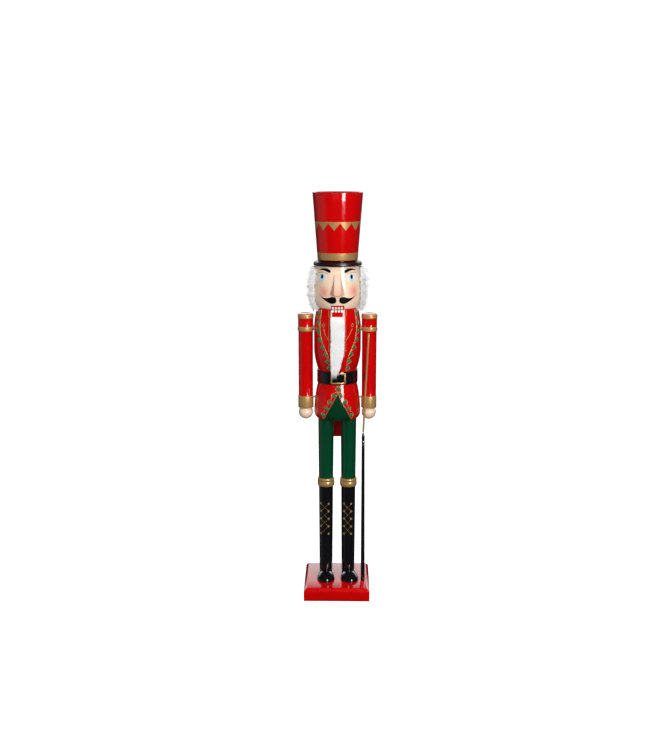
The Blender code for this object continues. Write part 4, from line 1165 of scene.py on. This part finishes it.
rises = [hair_low.z + 1.5 + (hair_high.z - hair_low.z - 2.5) * i / 16 for i in range(17)]
profile = [(backing_radius, rises[0])] + [(pelt_radius(z), z) for z in rises]
profile += [(backing_radius, rises[-1]), (backing_radius, rises[0])]
pelt = turned("hair_pelt", profile, steps=96)
opening_reach = 100 * tan(radians(PELT_HALF_OPENING))
wedge = block("face_opening", (-1, -1, hair_low.z - 5), (1, 0, hair_high.z + 5))
edit()
pick(wedge, "verts", lambda corner: corner.y > -0.5)
bpy.ops.transform.resize(value=(0.001, 1, 1), center_override=(0, 0, 0))
pick(wedge, "verts", lambda corner: corner.y < -0.5)
bpy.ops.transform.resize(value=(opening_reach, 100, 1), center_override=(0, 0, 0))
leave()
cut(pelt, wedge)
for vertex in pelt.data.vertices:
    radius = hypot(vertex.co.x, vertex.co.y) / MM
    share = pile_share(degrees(atan2(vertex.co.x, -vertex.co.y)) % 360)
    thinned = (backing_radius + (radius - backing_radius) * (0.1 + 0.9 * share)) / radius
    vertex.co = Vector((vertex.co.x * thinned, vertex.co.y * thinned, vertex.co.z))
pelt.data.update()
dress(pelt, GLOWING_WHITE_FUR, "white_fur", "hair", smooth=60)

chance = random.Random(HAIR_SEED)
corners, faces = [], []
for number in range(HAIR_LOCKS):
    angle = chance.uniform(HAIR_HALF_OPENING + 1, 360 - HAIR_HALF_OPENING - 1)
    if chance.random() < EDGE_SHARE:
        angle = HAIR_HALF_OPENING + chance.uniform(0, 20)
        angle = chance.choice((angle, 360 - angle))
    z = chance.uniform(hair_low.z + 3, hair_high.z - 1.5)
    turn = radians(angle)
    out = Vector((sin(turn), -cos(turn), 0))
    aside = Vector((cos(turn), sin(turn), 0))
    wisp = chance.random() < WISP_SHARE
    fullness = sin((0.1 + 0.85 * (hair_high.z - z) / (hair_high.z - hair_low.z)) * pi)
    length = chance.uniform(10, 17) if wisp else chance.uniform(6, 11) * (0.4 + 0.7 * fullness)
    lean = chance.gauss(0, 0.5)
    drop = chance.uniform(-0.5, 0.2) if wisp else chance.uniform(-0.2, 0.75)
    near_face = 1 - pile_share(angle)
    root = pelt_radius(z) - 0.8 - near_face * (pelt_radius(z) - head_radius(z) - 2.2)
    path = [out * root + Vector((0, 0, z))]
    heading = (out * 1.0 + aside * lean - Vector((0, 0, drop * 0.4))).normalized()
    curl = chance.gauss(0, 0.35)
    for step in range(4):
        heading = (heading + aside * curl * 0.4 - Vector((0, 0, 0.05 + drop * 0.42))).normalized()
        path.append(path[-1] + heading * length / 4)
    top_limit = hair_high.z + 0.4
    path = [Vector((point.x, point.y, min(point.z, top_limit))) for point in path]
    lock(corners, faces, chance, path, HAIR_STRANDS, 0.9, 0.55, STRAND_RADIUS)
dress(fur_piece("hair_locks", corners, faces), GLOWING_WHITE_FUR, "white_fur", smooth=90)

# Beard
# A tongue of the same fur glued to the lower jaw. It fills the slot's width, hangs over the chest and
# thins to a wispy point on the belt.

BEARD_SEED = 5
BEARD_LOCKS = 560
BEARD_STRANDS = 7
LEFT_EDGE = ((0, -9.0), (0.77, -9.1), (0.87, -8.5), (0.94, -7.6), (1, -6.4))
RIGHT_EDGE = ((0, 9.0), (0.55, 9.2), (0.62, 8.4), (0.7, 6.6), (0.78, 4.4), (0.88, 1.4), (1, -0.8))

beard_low, beard_high = span("beard")
beard_foot = beard_low.z - 11


def read(points, share):
    """The value at a share of the way along a row of (share, value) points."""
    for (start, first), (end, last) in zip(points, points[1:]):
        if share <= end:
            return first + (last - first) * (share - start) / (end - start)
    return points[-1][1]


def beard_share(z):
    """0 at the beard's top and 1 at its foot."""
    return max(0.0, min(1.0, (beard_high.z - z) / (beard_high.z - beard_foot)))


def beard_x(across, z):
    """Sideways place of a point at a height, from -1 at one edge of the beard to 1 at the other."""
    share = beard_share(z)
    left, right = read(LEFT_EDGE, share), read(RIGHT_EDGE, share)
    return left + (right - left) * (across + 1) / 2


def beard_depth(z):
    """How far the beard's surface stands in front of its back at a height."""
    share = beard_share(z)
    return 1.2 + 4.4 * sin(min(1.0, 0.3 + share * 1.3) * pi / 2) * (1 - share) ** 0.5


back = beard_high.y
tongue = block("beard_pelt", (-1, back - 1, beard_low.z + 22), (1, back, beard_high.z - 0.5))
edit("SELECT")
bpy.ops.mesh.subdivide(number_cuts=12)
leave()
for vertex in tongue.data.vertices:
    x, y, z = vertex.co / MM
    pile = (beard_high.y - y) * (beard_depth(z) * 0.6) * sqrt(max(0.0, 1 - x * x * 0.85))
    vertex.co = Vector((beard_x(x * 0.9, z), beard_high.y - 0.3 - pile, z)) * MM
tongue.data.update()

chance = random.Random(BEARD_SEED)
corners, faces = [], []
for number in range(BEARD_LOCKS):
    share = number / BEARD_LOCKS
    z = beard_high.z - 0.4 - (beard_high.z - beard_low.z - 6) * share**1.2
    across = chance.uniform(-1, 1)
    length = chance.uniform(13, 27) * (1 - 0.25 * share)
    stop = beard_foot + chance.choice((-2, 2, 6, 12, 18, 24))
    path = []
    wave, phase = chance.uniform(0.2, 0.9), chance.uniform(0, tau)
    lift = chance.uniform(0.0, 1.2) + (chance.uniform(0.5, 2.0) if chance.random() < 0.25 else 0.0)
    for step in range(5):
        part = step / 4
        height = max(z - length * part, min(stop, z - 4 * part))
        x = beard_x(across, height) + wave * sin(phase + part * 5)
        depth = beard_depth(height) * sqrt(max(0.05, 1 - 0.8 * across * across))
        y = beard_high.y - depth * (0.72 + 0.33 * part) - lift * sin(part * pi) * 0.8
        path.append(Vector((x, min(y, beard_high.y - 0.2), height)))
    lock(corners, faces, chance, path, BEARD_STRANDS, 0.55, 0.5, STRAND_RADIUS)
for corner in corners:
    corner.y = min(corner.y, beard_high.y)
locks = fur_piece("beard_locks", corners, faces)
dress(tongue, GLOWING_WHITE_FUR, "white_fur", "beard", body=None, smooth=80)
dress(locks, GLOWING_WHITE_FUR, "white_fur", body=None, smooth=90)
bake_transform(tongue)
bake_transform(locks)

# Studio
# A white table in a white tent, with one tall softbox to the right of the camera, a wide soft light
# above and a broad fill from just left of the camera.


def softbox(name, azimuth, distance, height, size, power, aim):
    """A rectangular light to the right of the camera, aimed at a height on the figure's axis."""
    turn = radians(azimuth)
    place = Vector((sin(turn) * distance, -cos(turn) * distance, height))
    bpy.ops.object.select_all(action="DESELECT")
    bpy.ops.object.light_add(type="AREA", location=place)
    lamp = bpy.context.object
    lamp.name = name
    lamp.data.shape = "RECTANGLE"
    lamp.data.size, lamp.data.size_y = size
    lamp.data.energy = power
    lamp.rotation_mode = "QUATERNION"
    lamp.rotation_quaternion = (Vector((0, 0, aim)) - place).to_track_quat("-Z", "Y")
    return lamp


floor = begin("floor", bpy.ops.mesh.primitive_plane_add, size=30.0)
edit()
bpy.ops.mesh.subdivide(number_cuts=3)
leave()
table = Paint("white_table")
GLOW = {"Emission_Color": (1.0, 1.0, 1.0, 1.0), "Emission_Strength": 0.92}
TABLE = table.finish((0.92, 0.92, 0.92), 0.7, **GLOW)
floor.data.materials.append(TABLE)
floor.visible_glossy = False
floor.visible_diffuse = False

softbox("key_softbox", 27.5, 1.6, 0.72, (0.40, 0.84), 15, 0.66)
top = softbox("top_softbox", 20, 0.6, 1.9, (1.5, 1.2), 18, 0.2)
fill = softbox("front_fill", -8, 2.2, 0.9, (1.4, 1.2), 26, 0.3)
top.visible_glossy = fill.visible_glossy = False

world = bpy.data.worlds.new("white_tent")
bpy.context.scene.world = world
world.use_nodes = True
sky = Socket(world.node_tree, None)
way = sky.node("TexCoord", {}, {}, output="Generated")
sideways, front_back, rising = (way.node("SeparateXYZ", {}, {0: way}, output=axis) for axis in range(3))
tent = front_back.above(0.55, 0.2) & rising.between(0.08, 0.48, 0.1)
edge = sideways.below(-0.85, 0.2) & rising.below(0.05, 0.2)
level = (tent | edge * 0.1).blended(0.025, 1.4)
seen = level.node("LightPath", {}, {}, output="Is Camera Ray")
strength = seen.blended(level, 1.05)
background = world.node_tree.nodes["Background"]
background.inputs["Color"].default_value = (1, 1, 1, 1)
world.node_tree.links.new(strength.socket, background.inputs["Strength"])

bpy.context.scene.view_settings.view_transform = "Standard"
bpy.ops.object.camera_add(location=(0.01235, -1.599, 0.645))
camera = bpy.context.object
camera.rotation_euler = (radians(90 - 11.06), 0, radians(1.1))
camera.data.lens = 52.8
bpy.context.scene.camera = camera
